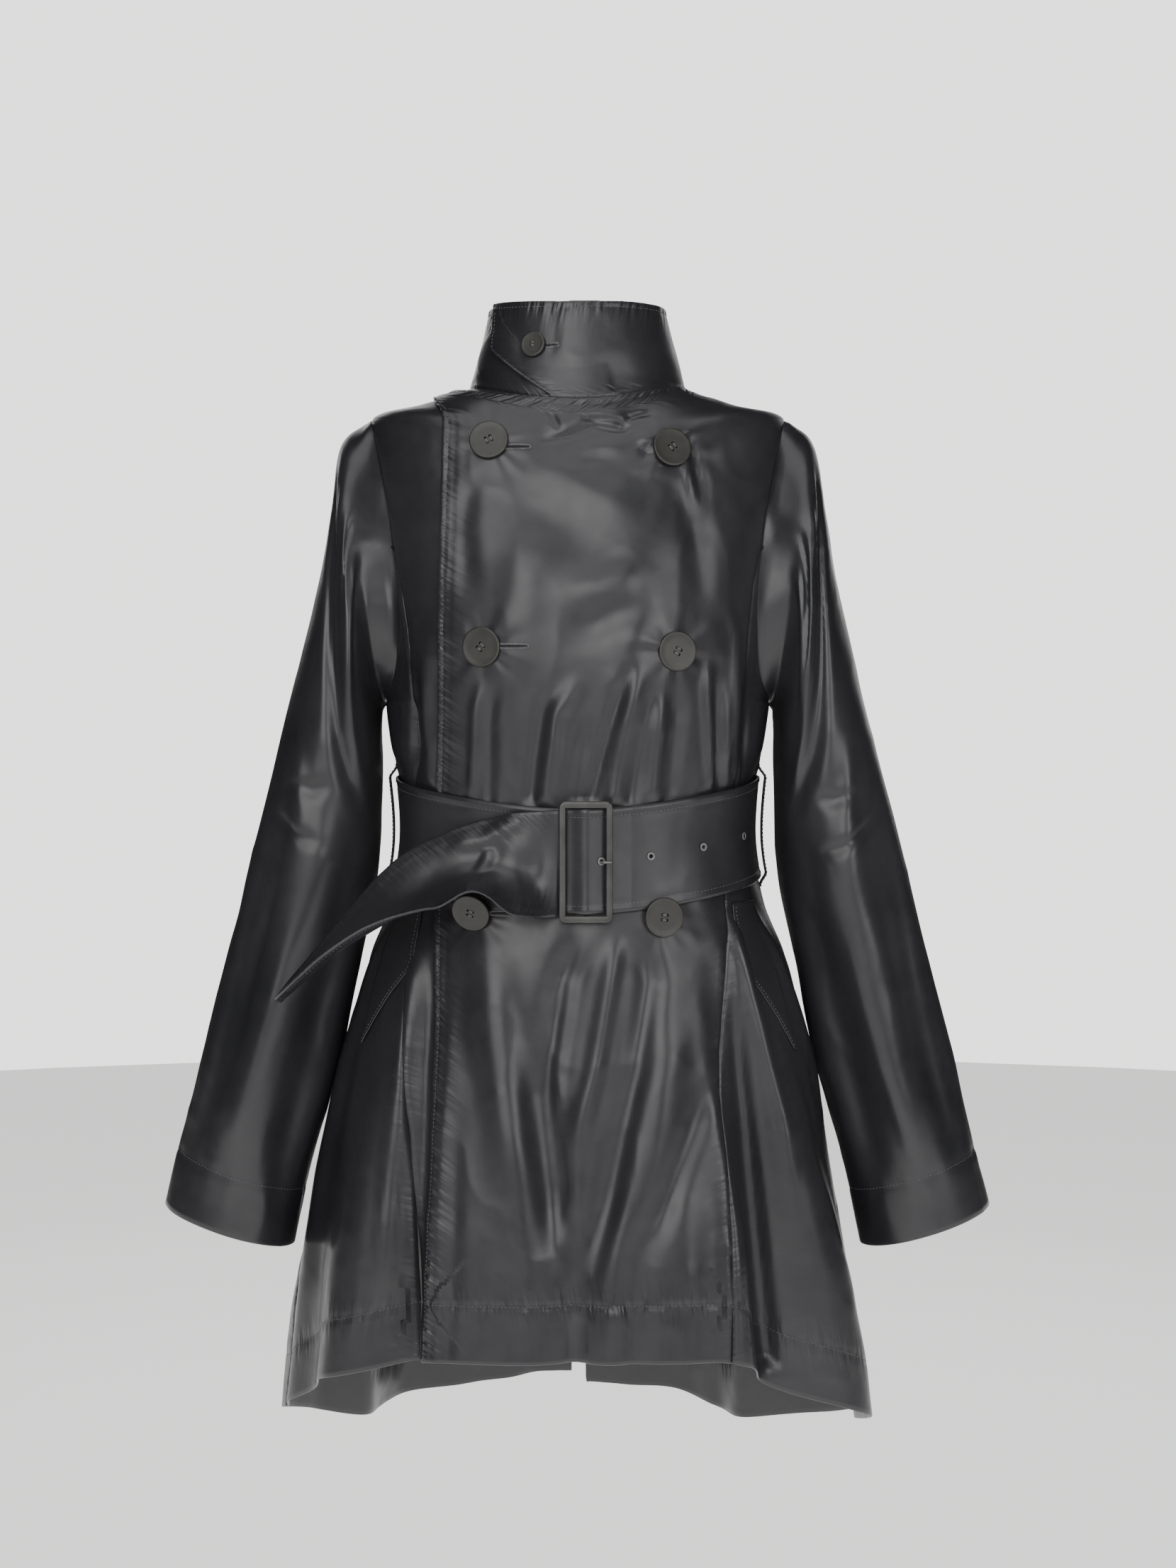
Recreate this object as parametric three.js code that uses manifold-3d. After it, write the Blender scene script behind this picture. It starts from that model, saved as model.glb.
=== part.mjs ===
// Double-breasted belted trench coat, worn and filled out, in millimetres.
// +X is the wearer's left, the front faces -Y, +Z is up.
// The origin is the centre of the neck base, where the wearer's shoulders carry the coat.
import * as THREE from 'three';
import { mergeVertices } from 'three/addons/utils/BufferGeometryUtils.js';
import Module from 'manifold-3d';

const wasm = await Module();
wasm.setup();

// Cloth and seams
const clothThickness = 1.5;
const beltThickness = 2.0;
const liningThickness = 1.0;
const seamGap = 0.3;
const overlapLift = 2.9;
const rightAngle = 90;
const fullTurn = 360;

// Buttons, buckle and belt
const largeButton = { diameter: 32, thickness: 3.6, rim: 3.2, dish: 0.8, sides: 18 };
const smallButton = { diameter: 21, thickness: 3.0, rim: 2.2, dish: 0.6, sides: 16 };
const buttonProfile = { foot: 0.85, waist: 0.4, rimRound: 0.5 };
const belt = {
  width: 84, lift: 1.3, sideHeight: -364, frontDroop: 23, droopPower: 1.5,
  rows: 4, columns: 56, footAngle: 362.2,
};
const buckle = {
  width: 43, height: 97, bar: 5.5, depth: 3.5, bevel: 0.6, corner: 3, innerCorner: 1,
  x: 7, z: -387, stand: 8.4,
};
const centreBar = { radius: 2.2, stand: 6.5, sides: 12 };
const eyelet = { outer: 3.3, inner: 1.7, height: 0.7, stand: 0.5, xs: [18.6, 57.6, 99, 133], sides: 8 };
const beltLoop = { width: 8, thickness: 1.5, reach: 10, stand: 7.5, rows: 12, arc: 0.3, flatShare: 0.8 };

// Section of the body at distances down the side of the coat, measured from the neckline.
const bodySections = [
  { down: 0, height: 4, halfWidth: 91, front: 80, back: 62, frontRise: -18, backRise: 6, square: 2.0 },
  { down: 43, height: -9, halfWidth: 134, front: 86, back: 80, frontRise: -30, backRise: -6, square: 2.1 },
  { down: 86, height: -22, halfWidth: 174, front: 93, back: 92, frontRise: -42, backRise: -20, square: 2.2 },
  { down: 134, height: -70, halfWidth: 177, front: 104, back: 104, frontRise: -30, backRise: -16, square: 2.2 },
  { down: 194, height: -130, halfWidth: 172, front: 117, back: 110, frontRise: -14, backRise: -8, square: 2.2 },
  { down: 264, height: -200, halfWidth: 166, front: 124, back: 110, frontRise: -5, backRise: -3, square: 2.2 },
  { down: 324, height: -260, halfWidth: 161, front: 122, back: 104, frontRise: 0, backRise: 0, square: 2.2 },
  { down: 394, height: -330, halfWidth: 150, front: 118, back: 97, frontRise: 0, backRise: 0, square: 2.2 },
  { down: 444, height: -380, halfWidth: 148, front: 117, back: 96, frontRise: 0, backRise: 0, square: 2.2 },
  { down: 494, height: -430, halfWidth: 158, front: 118, back: 106, frontRise: 0, backRise: 0, square: 2.25 },
  { down: 534, height: -470, halfWidth: 175, front: 122, back: 126, frontRise: 0, backRise: 0, square: 2.3 },
  { down: 624, height: -560, halfWidth: 199, front: 131, back: 146, frontRise: 0, backRise: 0, square: 2.35 },
  { down: 724, height: -660, halfWidth: 219, front: 141, back: 164, frontRise: 0, backRise: 0, square: 2.4 },
  { down: 824, height: -760, halfWidth: 236, front: 151, back: 182, frontRise: 0, backRise: 0, square: 2.4 },
  { down: 936, height: -872, halfWidth: 248, front: 158, back: 196, frontRise: 0, backRise: 0, square: 2.4 },
];
const waistDown = 494;
const hemDown = 936;

// Height of the hem round the coat, by angle from the centre front, on the wearer's left and right.
const hemHeights = [
  { angle: 0, left: -783, right: -783 },
  { angle: 36, left: -783, right: -783 },
  { angle: 45, left: -790, right: -786 },
  { angle: 54, left: -811, right: -797 },
  { angle: 63, left: -830, right: -808 },
  { angle: 75, left: -852, right: -832 },
  { angle: 90, left: -872, right: -862 },
  { angle: 105, left: -884, right: -882 },
  { angle: 120, left: -905, right: -903 },
  { angle: 140, left: -916, right: -903 },
  { angle: 160, left: -902, right: -889 },
  { angle: 180, left: -896, right: -886 },
];

// Main folds, from the distance down where each starts to where it is deepest.
const bodyFolds = [
  { name: 'front_right_valley', top: -23, foot: -3, width: 10, depth: -7, start: 520, full: 860 },
  { name: 'front_left_valley', top: 18, foot: 1, width: 10, depth: -7, start: 520, full: 860 },
  { name: 'front_wedge', top: 38, foot: 15, width: 9, depth: -5, start: 640, full: 880 },
  { name: 'left_thin_ridge', top: 45, foot: 42, width: 5, depth: 5, start: 700, full: 930 },
  { name: 'left_valley', top: 48, foot: 54, width: 10, depth: -26, start: 500, full: 930 },
  { name: 'left_ridge', top: 56, foot: 69, width: 12, depth: 16, start: 480, full: 930 },
  { name: 'left_side_valley', top: 80, foot: 88, width: 11, depth: -10, start: 560, full: 930 },
  { name: 'left_back_ridge', top: 104, foot: 112, width: 14, depth: 18, start: 500, full: 930 },
  { name: 'left_back_valley', top: 128, foot: 133, width: 12, depth: -24, start: 510, full: 930 },
  { name: 'left_vent_ridge', top: 152, foot: 155, width: 12, depth: 14, start: 520, full: 930 },
  { name: 'right_valley', top: -47, foot: -46, width: 7, depth: -14, start: 500, full: 930 },
  { name: 'right_ridge', top: -56, foot: -57, width: 11, depth: 16, start: 480, full: 930 },
  { name: 'right_side_valley', top: -76, foot: -74, width: 11, depth: -14, start: 540, full: 930 },
  { name: 'right_side_ridge', top: -92, foot: -98, width: 12, depth: 12, start: 560, full: 930 },
  { name: 'right_back_valley', top: -118, foot: -120, width: 12, depth: -22, start: 510, full: 930 },
  { name: 'right_back_ridge', top: -140, foot: -140, width: 12, depth: 20, start: 500, full: 930 },
  { name: 'right_vent_valley', top: -160, foot: -160, width: 10, depth: -12, start: 540, full: 930 },
];

// Shaping folds of the bodice above the belt, deepest where the belt gathers them.
const bodiceFolds = [
  { angle: 57, width: 7, depth: 4, start: 250 },
  { angle: 68, width: 7, depth: -5, start: 260 },
  { angle: 79, width: 8, depth: 4, start: 270 },
  { angle: -64, width: 9, depth: -5, start: 230 },
  { angle: -78, width: 8, depth: 4, start: 260 },
  { angle: 118, width: 10, depth: -6, start: 240 },
  { angle: 146, width: 10, depth: 6, start: 240 },
  { angle: -125, width: 10, depth: 6, start: 240 },
  { angle: -150, width: 10, depth: -6, start: 240 },
];
const bodiceFoldFull = 362;
const bodiceFoldEnd = 384;
const foldGrowth = 0.8;

// Armhole edge: half-widths where the front and the back panels end.
const armhole = [
  { down: 86, front: 174, back: 174 },
  { down: 100, front: 170, back: 171 },
  { down: 116, front: 166, back: 168 },
  { down: 134, front: 162, back: 165 },
  { down: 164, front: 156, back: 159 },
  { down: 194, front: 152, back: 155 },
  { down: 206, front: 150.4, back: 153.7 },
  { down: 228, front: 148.4, back: 151.8 },
  { down: 252, front: 147.5, back: 150.5 },
  { down: 278, front: 149, back: 151 },
  { down: 298, front: 151.5, back: 152.5 },
  { down: 312, front: 155, back: 155.5 },
  { down: 320, front: 158.5, back: 158.5 },
  { down: 324, front: 161, back: 161 },
];
const shoulderDown = armhole[0].down;
const underarmDown = armhole[armhole.length - 1].down;

// Princess seams: half-width of the seam between the front and the side front on each side.
const princessSeams = [
  { down: 194, left: 152, right: 152 },
  { down: 206, left: 148.2, right: 148.2 },
  { down: 228, left: 144, right: 144 },
  { down: 264, left: 140, right: 139 },
  { down: 324, left: 136, right: 138 },
  { down: 394, left: 129, right: 135 },
  { down: 494, left: 121.5, right: 137 },
  { down: 936, left: 121.5, right: 137 },
];
const princessDown = princessSeams[0].down;

// Free edge of the over front, on the wearer's right, and hidden edge of the under front.
const overEdge = [
  { down: 0, x: -62 },
  { down: 14, x: -108 },
  { down: 86, x: -109 },
  { down: 264, x: -111 },
  { down: 494, x: -114.5 },
  { down: 724, x: -121 },
  { down: 936, x: -125.5 },
];
const underEdgeX = 56;
const overMerge = { start: 60, end: 104 };

// Centre-back vent: half of its opening at the hem, and the distance down where it starts.
const vent = { start: 640, halfGapAtHem: 22 };

// Rows of the body panels, as distances down the side.
const yokeRows = [0, 8, 22, 40, 62];
const armholeRows = armhole.map((row) => row.down);
const waistRows = [346, 366, 388, 416, 446, 480];
const skirtRows = [506, 540, 578, 624, 680, 742, 806, 872, 936];
const bodyRows = [...yokeRows, ...armholeRows, ...waistRows, ...skirtRows];
const panelColumns = { overlap: 10, overSide: 4, underSide: 2, side: 6, back: 11 };

// Sleeve: the outer and the inner end of each section, with its depth from front to back.
const sleeveSections = [
  { along: 0.0, outerX: 176, outerZ: -22, innerX: 161, innerZ: -260, front: 66, back: 62, shift: 0 },
  { along: 0.06, outerX: 198, outerZ: -42, innerX: 166, innerZ: -268, front: 74, back: 68, shift: -2 },
  { along: 0.13, outerX: 206, outerZ: -92, innerX: 167, innerZ: -286, front: 78, back: 70, shift: -4 },
  { along: 0.22, outerX: 216, outerZ: -150, innerX: 166, innerZ: -310, front: 77, back: 68, shift: -6 },
  { along: 0.34, outerX: 234, outerZ: -226, innerX: 168, innerZ: -348, front: 73, back: 63, shift: -9 },
  { along: 0.48, outerX: 257, outerZ: -320, innerX: 176, innerZ: -402, front: 68, back: 58, shift: -12 },
  { along: 0.64, outerX: 283, outerZ: -424, innerX: 194, innerZ: -480, front: 61, back: 55, shift: -15 },
  { along: 0.82, outerX: 315, outerZ: -551, innerX: 217, innerZ: -595, front: 57, back: 54, shift: -16 },
  { along: 1.0, outerX: 348.5, outerZ: -681, innerX: 240, innerZ: -716, front: 54, back: 52, shift: -17 },
];
const sleeveRings = 15;
const sleeveSquare = 2.1;
const sleeveStart = 0.035;
const sleeveEvenBy = 0.5;
const sleeveFoldEnds = 0.25;

// Folds that run round and down a sleeve: angle 0 is its outer line and 90 its front.
const sleeveFolds = [
  { name: 'shoulder_valley', from: 0.04, fromAngle: 28, to: 0.42, toAngle: 128, width: 30, depth: -7 },
  { name: 'front_ridge', from: 0.05, fromAngle: 62, to: 0.36, toAngle: 122, width: 28, depth: 4 },
  { name: 'elbow_ridge', from: 0.4, fromAngle: 104, to: 0.98, toAngle: 84, width: 30, depth: 8 },
  { name: 'elbow_valley', from: 0.44, fromAngle: 60, to: 0.95, toAngle: 50, width: 26, depth: -5 },
  { name: 'inner_valley', from: 0.5, fromAngle: 140, to: 0.98, toAngle: 128, width: 24, depth: -6 },
  { name: 'back_valley', from: 0.06, fromAngle: 310, to: 0.5, toAngle: 240, width: 26, depth: -7 },
  { name: 'back_ridge', from: 0.42, fromAngle: 262, to: 0.98, toAngle: 272, width: 28, depth: 6 },
];

// Stand collar sections, from the neck seam to the top edge.
const collarSections = [
  { rise: 0, halfWidth: 91, front: 80, back: 62, frontZ: -13, sideZ: 5, backZ: 11 },
  { rise: 0.3, halfWidth: 86, front: 76, back: 59, frontZ: 8, sideZ: 25, backZ: 33 },
  { rise: 0.65, halfWidth: 80, front: 71, back: 59, frontZ: 36, sideZ: 47, backZ: 60 },
  { rise: 1, halfWidth: 75, front: 67, back: 60, frontZ: 65, sideZ: 70, backZ: 88 },
];
const collar = {
  overEndTop: -68, overEndCorner: -61, cornerRise: 0.44, overEndFoot: -16, underEnd: 372,
  columns: 34, rows: 4,
  mergeStart: 25, mergeEnd: 75, lapRise: 0.5, square: 2,
};

// Loose end of the belt: centre line, lean of its width towards the front, and lengthwise curl.
const tailSections = [
  { x: -13.2, y: -125.6, z: -388.4, lean: -1, curl: 0 },
  { x: -17, y: -126, z: -388.5, lean: -1, curl: 0 },
  { x: -30, y: -131, z: -389, lean: 5, curl: 1 },
  { x: -50, y: -138.5, z: -389.5, lean: 20, curl: 3 },
  { x: -72, y: -141, z: -390, lean: 36, curl: 6 },
  { x: -96, y: -144, z: -393, lean: 47, curl: 9 },
  { x: -122, y: -144, z: -400, lean: 56, curl: 12 },
  { x: -146, y: -146, z: -412, lean: 66, curl: 14 },
  { x: -170, y: -148, z: -429, lean: 77, curl: 13 },
  { x: -195, y: -150, z: -451, lean: 84, curl: 10 },
  { x: -216, y: -151, z: -472, lean: 87, curl: 8 },
  { x: -236, y: -152, z: -493, lean: 88, curl: 6 },
];
const tailRows = 6;
const tailStations = 26;
const tailTip = { start: 0.86, endShare: 0.42, power: 3 };

// Buttons on the front: place, standing height of the centre and turn about the local axes.
const frontButtons = [
  { name: 'button_top_right', x: -71, z: -49.2, stand: 0.4, nod: 0, turn: 0 },
  { name: 'button_top_left', x: 75.8, z: -54.8, stand: 1.0, nod: 0, turn: 10 },
  { name: 'button_middle_right', x: -75.1, z: -215.4, stand: 0.4, nod: 0, turn: 0 },
  { name: 'button_middle_left', x: 78.9, z: -218.8, stand: 0.5, nod: 0, turn: 0 },
  { name: 'button_lower_right', x: -81, z: -429, stand: 8.3, nod: 30, turn: 0 },
  { name: 'button_lower_left', x: 67.9, z: -433, stand: 3.2, nod: 8, turn: 0 },
];
const collarButton = { x: -40.2, z: 30.8, stand: 0.6 };

// Slanted pocket welts, seen square on at an angle from the front: mm across, and the height.
const pocketOutline = [
  { across: -13, height: -424 },
  { across: -24, height: -470 },
  { across: -23, height: -478 },
  { across: 17, height: -548 },
  { across: 15, height: -424 },
];
const pocketCut = { angle: 64, near: 110, far: 230 };
const weltLift = { outer: 1.7, thickness: 1.2 };

// Stand of the belt's inner face off the over front where it passes through the buckle.
const beltThroughBuckle = [
  { x: -11.2, stand: 3.8 },
  { x: -4, stand: 5.4 },
  { x: 5, stand: 9.1 },
  { x: 9, stand: 9.1 },
  { x: 17, stand: 6.8 },
  { x: 23, stand: 4.8 },
  { x: 31, stand: 3.0 },
  { x: 42, stand: 1.3 },
];
const beltBuckleColumns = 15;
const beltBuckleAngle = 24;
const beltOffFronts = { start: 60, end: 84 };

const prong = { radius: 0.8, steps: 16, curveSegments: 4 };
const prongPoints = [
  { x: 10.3, stand: 5.6 },
  { x: 13, stand: 4.0 },
  { x: 16.2, stand: 3.2 },
  { x: 18.2, stand: 5.4 },
  { x: 19.2, stand: 9.2 },
  { x: 21.4, stand: 12.6 },
  { x: 24, stand: 13.0 },
  { x: 27.5, stand: 13.0 },
];

// Skirt linings that show below the hem, inside the back and the sides.
const lining = { rows: skirtRows.slice(0, -1), gap: 0.6, firstColumn: 1, lastColumn: 10 };

// Small steps over which the directions of each surface are measured.
const measureStep = { angle: 0.4, down: 1, turn: 0.5, along: 0.002, rise: 0.01 };
const bisectionSteps = 40;
const mergeDistance = 1e-3;

const colours = {
  cloth: { color: 0x3b3b40, roughness: 0.38, metalness: 0.0 },
  lining: { color: 0x4b443e, roughness: 0.6, metalness: 0.0 },
  button: { color: 0x2b2a24, roughness: 0.3, metalness: 0.0 },
  buckle: { color: 0x55554f, roughness: 0.35, metalness: 0.8 },
  eyelet: { color: 0x6a6a68, roughness: 0.4, metalness: 0.3 },
};

const radians = (degrees) => (degrees * Math.PI) / 180;
const degrees = (angle) => (angle * 180) / Math.PI;
const clamp = (value, low, high) => Math.min(high, Math.max(low, value));

function smoothStep(from, to, value) {
  const share = clamp((value - from) / (to - from), 0, 1);
  return share * share * (3 - 2 * share);
}

// A smooth bump of height 1 at the centre that ends at its half-width.
function bump(distance, halfWidth) {
  return Math.abs(distance) < halfWidth ? 0.5 * (1 + Math.cos((Math.PI * distance) / halfWidth)) : 0;
}

function wrapAngle(angle) {
  return ((((angle + 180) % fullTurn) + fullTurn) % fullTurn) - 180;
}

// Reads one column of a table at any place between its rows, with a smooth curve through them.
function readTable(rows, key, column, at) {
  const last = rows.length - 1;
  const place = clamp(at, rows[0][key], rows[last][key]);
  let index = 0;
  while (index < last - 1 && rows[index + 1][key] < place) index += 1;
  const slope = (row) => {
    const before = rows[Math.max(row - 1, 0)];
    const after = rows[Math.min(row + 1, last)];
    return (after[column] - before[column]) / (after[key] - before[key]);
  };
  const span = rows[index + 1][key] - rows[index][key];
  const share = (place - rows[index][key]) / span;
  const square = share * share;
  const cube = square * share;
  return (2 * cube - 3 * square + 1) * rows[index][column]
    + (cube - 2 * square + share) * span * slope(index)
    + (3 * square - 2 * cube) * rows[index + 1][column]
    + (cube - square) * span * slope(index + 1);
}

// Radius of a rounded rectangle-like section in the direction of an angle.
function sectionRadius(angle, halfWidth, front, back, square) {
  const across = Math.abs(Math.sin(radians(angle))) / halfWidth;
  const along = Math.cos(radians(angle));
  const depth = Math.abs(along) / (along > 0 ? front : back);
  return 1 / (across ** square + depth ** square) ** (1 / square);
}

// Angle at which a section reaches a given half-width, on its front or its back.
function angleAtWidth(x, halfWidth, depth, square) {
  const share = clamp(Math.abs(x) / halfWidth, 0, 1);
  const y = depth * (1 - share ** square) ** (1 / square);
  return degrees(Math.atan2(Math.abs(x), y)) * Math.sign(x || 1);
}

function bodySection(down) {
  const read = (column) => readTable(bodySections, 'down', column, down);
  return {
    height: read('height'), halfWidth: read('halfWidth'), front: read('front'), back: read('back'),
    frontRise: read('frontRise'), backRise: read('backRise'), square: read('square'),
  };
}

function foldDepth(angle, down) {
  let depth = 0;
  for (const fold of bodyFolds) {
    const grown = smoothStep(fold.start, fold.full, down) ** foldGrowth;
    const centre = fold.top + (fold.foot - fold.top) * smoothStep(waistDown, hemDown, down);
    depth += fold.depth * grown * bump(wrapAngle(angle - centre), fold.width);
  }
  for (const fold of bodiceFolds) {
    const ended = smoothStep(bodiceFoldFull, bodiceFoldEnd, down);
    const grown = smoothStep(fold.start, bodiceFoldFull, down) * (1 - ended);
    depth += fold.depth * grown * bump(wrapAngle(angle - fold.angle), fold.width);
  }
  return depth;
}

function hemHeight(angle) {
  const turned = wrapAngle(angle);
  return readTable(hemHeights, 'angle', turned > 0 ? 'left' : 'right', Math.abs(turned));
}

// Height of the body's surface: the bodice tilts forward and the skirt runs down to the hem table.
function bodyHeight(angle, down, section) {
  const forward = Math.cos(radians(angle));
  const rise = forward > 0 ? section.frontRise : section.backRise;
  const upper = section.height + rise * forward * forward;
  if (down <= waistDown) return upper;
  const waistHeight = bodySection(waistDown).height;
  const hem = hemHeight(angle);
  return waistHeight + ((hem - waistHeight) * (down - waistDown)) / (hemDown - waistDown);
}

function bodySurface(angle, down) {
  const section = bodySection(down);
  const plain = sectionRadius(angle, section.halfWidth, section.front, section.back, section.square);
  const radius = plain + foldDepth(angle, down);
  return new THREE.Vector3(
    radius * Math.sin(radians(angle)),
    -radius * Math.cos(radians(angle)),
    bodyHeight(angle, down, section),
  );
}

// Outward normal of a surface given by an angle and a second measure that runs down.
function surfaceNormal(surface, angle, down, angleStep, downStep) {
  const across = surface(angle + angleStep, down).sub(surface(angle - angleStep, down));
  const along = surface(angle, down - downStep).sub(surface(angle, down + downStep));
  return across.cross(along).normalize();
}

// A point of the coat, moved out from its surface by a lift.
function coatPoint(angle, down, lift) {
  const inside = clamp(down, measureStep.down, hemDown - measureStep.down);
  const normal = surfaceNormal(bodySurface, angle, inside, measureStep.angle, measureStep.down);
  return bodySurface(angle, down).addScaledVector(normal, lift);
}

// Closed wall between an outer and an inner grid of points, open or wrapped round in its columns.
function wallGeometry(outer, inner, wrapped) {
  const rows = outer.length;
  const columns = outer[0].length;
  const positions = [];
  const indices = [];
  for (const grid of [outer, inner]) {
    for (const row of grid) {
      for (const point of row) positions.push(point.x, point.y, point.z);
    }
  }
  const at = (layer, row, column) => layer * rows * columns + row * columns + (column % columns);
  const quad = (a, b, c, d) => indices.push(a, b, c, a, c, d);
  const cells = wrapped ? columns : columns - 1;
  for (let row = 0; row < rows - 1; row += 1) {
    for (let column = 0; column < cells; column += 1) {
      quad(at(0, row, column), at(0, row + 1, column), at(0, row + 1, column + 1), at(0, row, column + 1));
      quad(at(1, row, column), at(1, row, column + 1), at(1, row + 1, column + 1), at(1, row + 1, column));
    }
    if (!wrapped) {
      quad(at(0, row, 0), at(1, row, 0), at(1, row + 1, 0), at(0, row + 1, 0));
      const end = columns - 1;
      quad(at(0, row, end), at(0, row + 1, end), at(1, row + 1, end), at(1, row, end));
    }
  }
  for (let column = 0; column < cells; column += 1) {
    quad(at(0, 0, column), at(0, 0, column + 1), at(1, 0, column + 1), at(1, 0, column));
    const foot = rows - 1;
    quad(at(0, foot, column), at(1, foot, column), at(1, foot, column + 1), at(0, foot, column + 1));
  }
  const geometry = new THREE.BufferGeometry();
  geometry.setAttribute('position', new THREE.Float32BufferAttribute(positions, 3));
  geometry.setIndex(indices);
  return geometry;
}

const coat = new THREE.Group();
const materials = Object.fromEntries(
  Object.entries(colours).map(([name, look]) => [name, new THREE.MeshStandardMaterial(look)]),
);

function addPiece(name, geometry, material) {
  geometry.computeVertexNormals();
  const mesh = new THREE.Mesh(geometry, materials[material]);
  mesh.name = name;
  coat.add(mesh);
  return mesh;
}

// A wall over the body from rows of distances down, with the angles of each row and a lift.
function bodyWall(rows, anglesOf, liftOf, thickness) {
  const outer = [];
  const inner = [];
  for (const down of rows) {
    const angles = anglesOf(down);
    outer.push(angles.map((angle) => coatPoint(angle, down, liftOf(angle, down))));
    inner.push(angles.map((angle) => coatPoint(angle, down, liftOf(angle, down) - thickness)));
  }
  return wallGeometry(outer, inner, false);
}

// Angle that a small distance along the section takes up at a place on the body.
function gapAngle(angle, down, distance) {
  const step = measureStep.turn;
  const length = bodySurface(angle + step, down).distanceTo(bodySurface(angle - step, down));
  return (distance * 2 * step) / length;
}

function frontAngle(x, down) {
  const section = bodySection(down);
  return angleAtWidth(x, section.halfWidth, section.front, section.square);
}

// Edge of the front half at a distance down: shoulder seam, armhole, then side seam.
function frontSideAngle(down) {
  if (down <= shoulderDown || down >= underarmDown) return rightAngle;
  return frontAngle(readTable(armhole, 'down', 'front', down), down);
}

function backSideAngle(down) {
  if (down <= shoulderDown || down >= underarmDown) return rightAngle;
  const section = bodySection(down);
  const width = readTable(armhole, 'down', 'back', down);
  return 180 - angleAtWidth(width, section.halfWidth, section.back, section.square);
}

// Angle of a front panel's outer edge: the armhole above the princess seam, then that seam.
function frontPanelEdge(side, down) {
  if (down < princessDown) return frontSideAngle(down);
  return frontAngle(readTable(princessSeams, 'down', side, down), down);
}

function spread(from, to, count) {
  return Array.from({ length: count + 1 }, (_, index) => from + ((to - from) * index) / count);
}

// How far the over front stands out: full over the underlap, none at its own princess seam.
function overLift(angle, down) {
  const start = frontAngle(overMerge.start, down);
  const end = frontAngle(overMerge.end, down);
  return overlapLift * (1 - smoothStep(start, end, angle));
}

// Grid lines that both fronts share, from the free edge of the one to the hidden edge of the other.
function overlapAngles(down) {
  const from = frontAngle(readTable(overEdge, 'down', 'x', down), down);
  return spread(from, frontAngle(underEdgeX, down), panelColumns.overlap);
}

function overFrontAngles(down) {
  const edge = frontPanelEdge('left', down);
  const end = edge - gapAngle(edge, down, seamGap / 2);
  const shared = overlapAngles(down);
  return [...shared, ...spread(shared[shared.length - 1], end, panelColumns.overSide).slice(1)];
}

function underFrontAngles(down) {
  const edge = frontPanelEdge('right', down);
  const start = -edge + gapAngle(-edge, down, seamGap / 2);
  const shared = overlapAngles(down);
  return [...spread(start, shared[0], panelColumns.underSide).slice(0, -1), ...shared];
}

const flat = () => 0;
const sides = [
  { name: 'left', sign: 1 },
  { name: 'right', sign: -1 },
];

addPiece('front_over', bodyWall(bodyRows, overFrontAngles, overLift, clothThickness), 'cloth');
addPiece('front_under', bodyWall(bodyRows, underFrontAngles, flat, clothThickness), 'cloth');

// Turns a row of angles on the wearer's left into the same row on either side.
function onSide(side, row) {
  return side.sign > 0 ? row : row.map((angle) => -angle).reverse();
}

const sideRows = bodyRows.filter((down) => down > princessDown);

function sideFrontAngles(side, down) {
  const seam = frontPanelEdge(side.name, down);
  const from = seam + gapAngle(seam, down, seamGap / 2);
  const to = frontSideAngle(down) - gapAngle(frontSideAngle(down), down, seamGap / 2);
  return onSide(side, spread(from, to, panelColumns.side));
}

for (const side of sides) {
  const angles = (down) => sideFrontAngles(side, down);
  addPiece(`side_front_${side.name}`, bodyWall(sideRows, angles, flat, clothThickness), 'cloth');
}

// Half-angle left open at the centre back: a seam above, the vent below.
function backCentreAngle(down) {
  const open = vent.halfGapAtHem * clamp((down - vent.start) / (hemDown - vent.start), 0, 1);
  return 180 - gapAngle(180, down, seamGap / 2 + open);
}

function backAngles(down) {
  const from = backSideAngle(down) + gapAngle(rightAngle, down, seamGap / 2);
  return spread(from, backCentreAngle(down), panelColumns.back);
}

for (const side of sides) {
  const angles = (down) => onSide(side, backAngles(down));
  addPiece(`back_${side.name}`, bodyWall(bodyRows, angles, flat, clothThickness), 'cloth');
}

// Skirt linings inside the back, on its own grid lines.
for (const side of sides) {
  const angles = (down) => onSide(side, backAngles(down).slice(lining.firstColumn, lining.lastColumn));
  const lift = () => -clothThickness - lining.gap;
  addPiece(`lining_${side.name}`, bodyWall(lining.rows, angles, lift, liningThickness), 'lining');
}

// Edge of the armhole as a loop of points: down the front and up the back.
function armholeLoop(lift, outward) {
  const front = armhole.map((row) => ({ down: row.down, angle: frontSideAngle(row.down) }));
  const back = armhole.slice(1, -1).reverse()
    .map((row) => ({ down: row.down, angle: backSideAngle(row.down) }));
  return [...front, ...back].map(({ down, angle }) => {
    const point = coatPoint(angle, down, lift);
    point.x += outward;
    return point;
  });
}

function sleeveFoldDepth(angle, along) {
  let depth = 0;
  for (const fold of sleeveFolds) {
    const share = (along - fold.from) / (fold.to - fold.from);
    if (share <= 0 || share >= 1) continue;
    const centre = fold.fromAngle + (fold.toAngle - fold.fromAngle) * share;
    const ends = smoothStep(0, sleeveFoldEnds, share) * (1 - smoothStep(1 - sleeveFoldEnds, 1, share));
    depth += fold.depth * ends * bump(wrapAngle(angle - centre), fold.width);
  }
  return depth;
}

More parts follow.
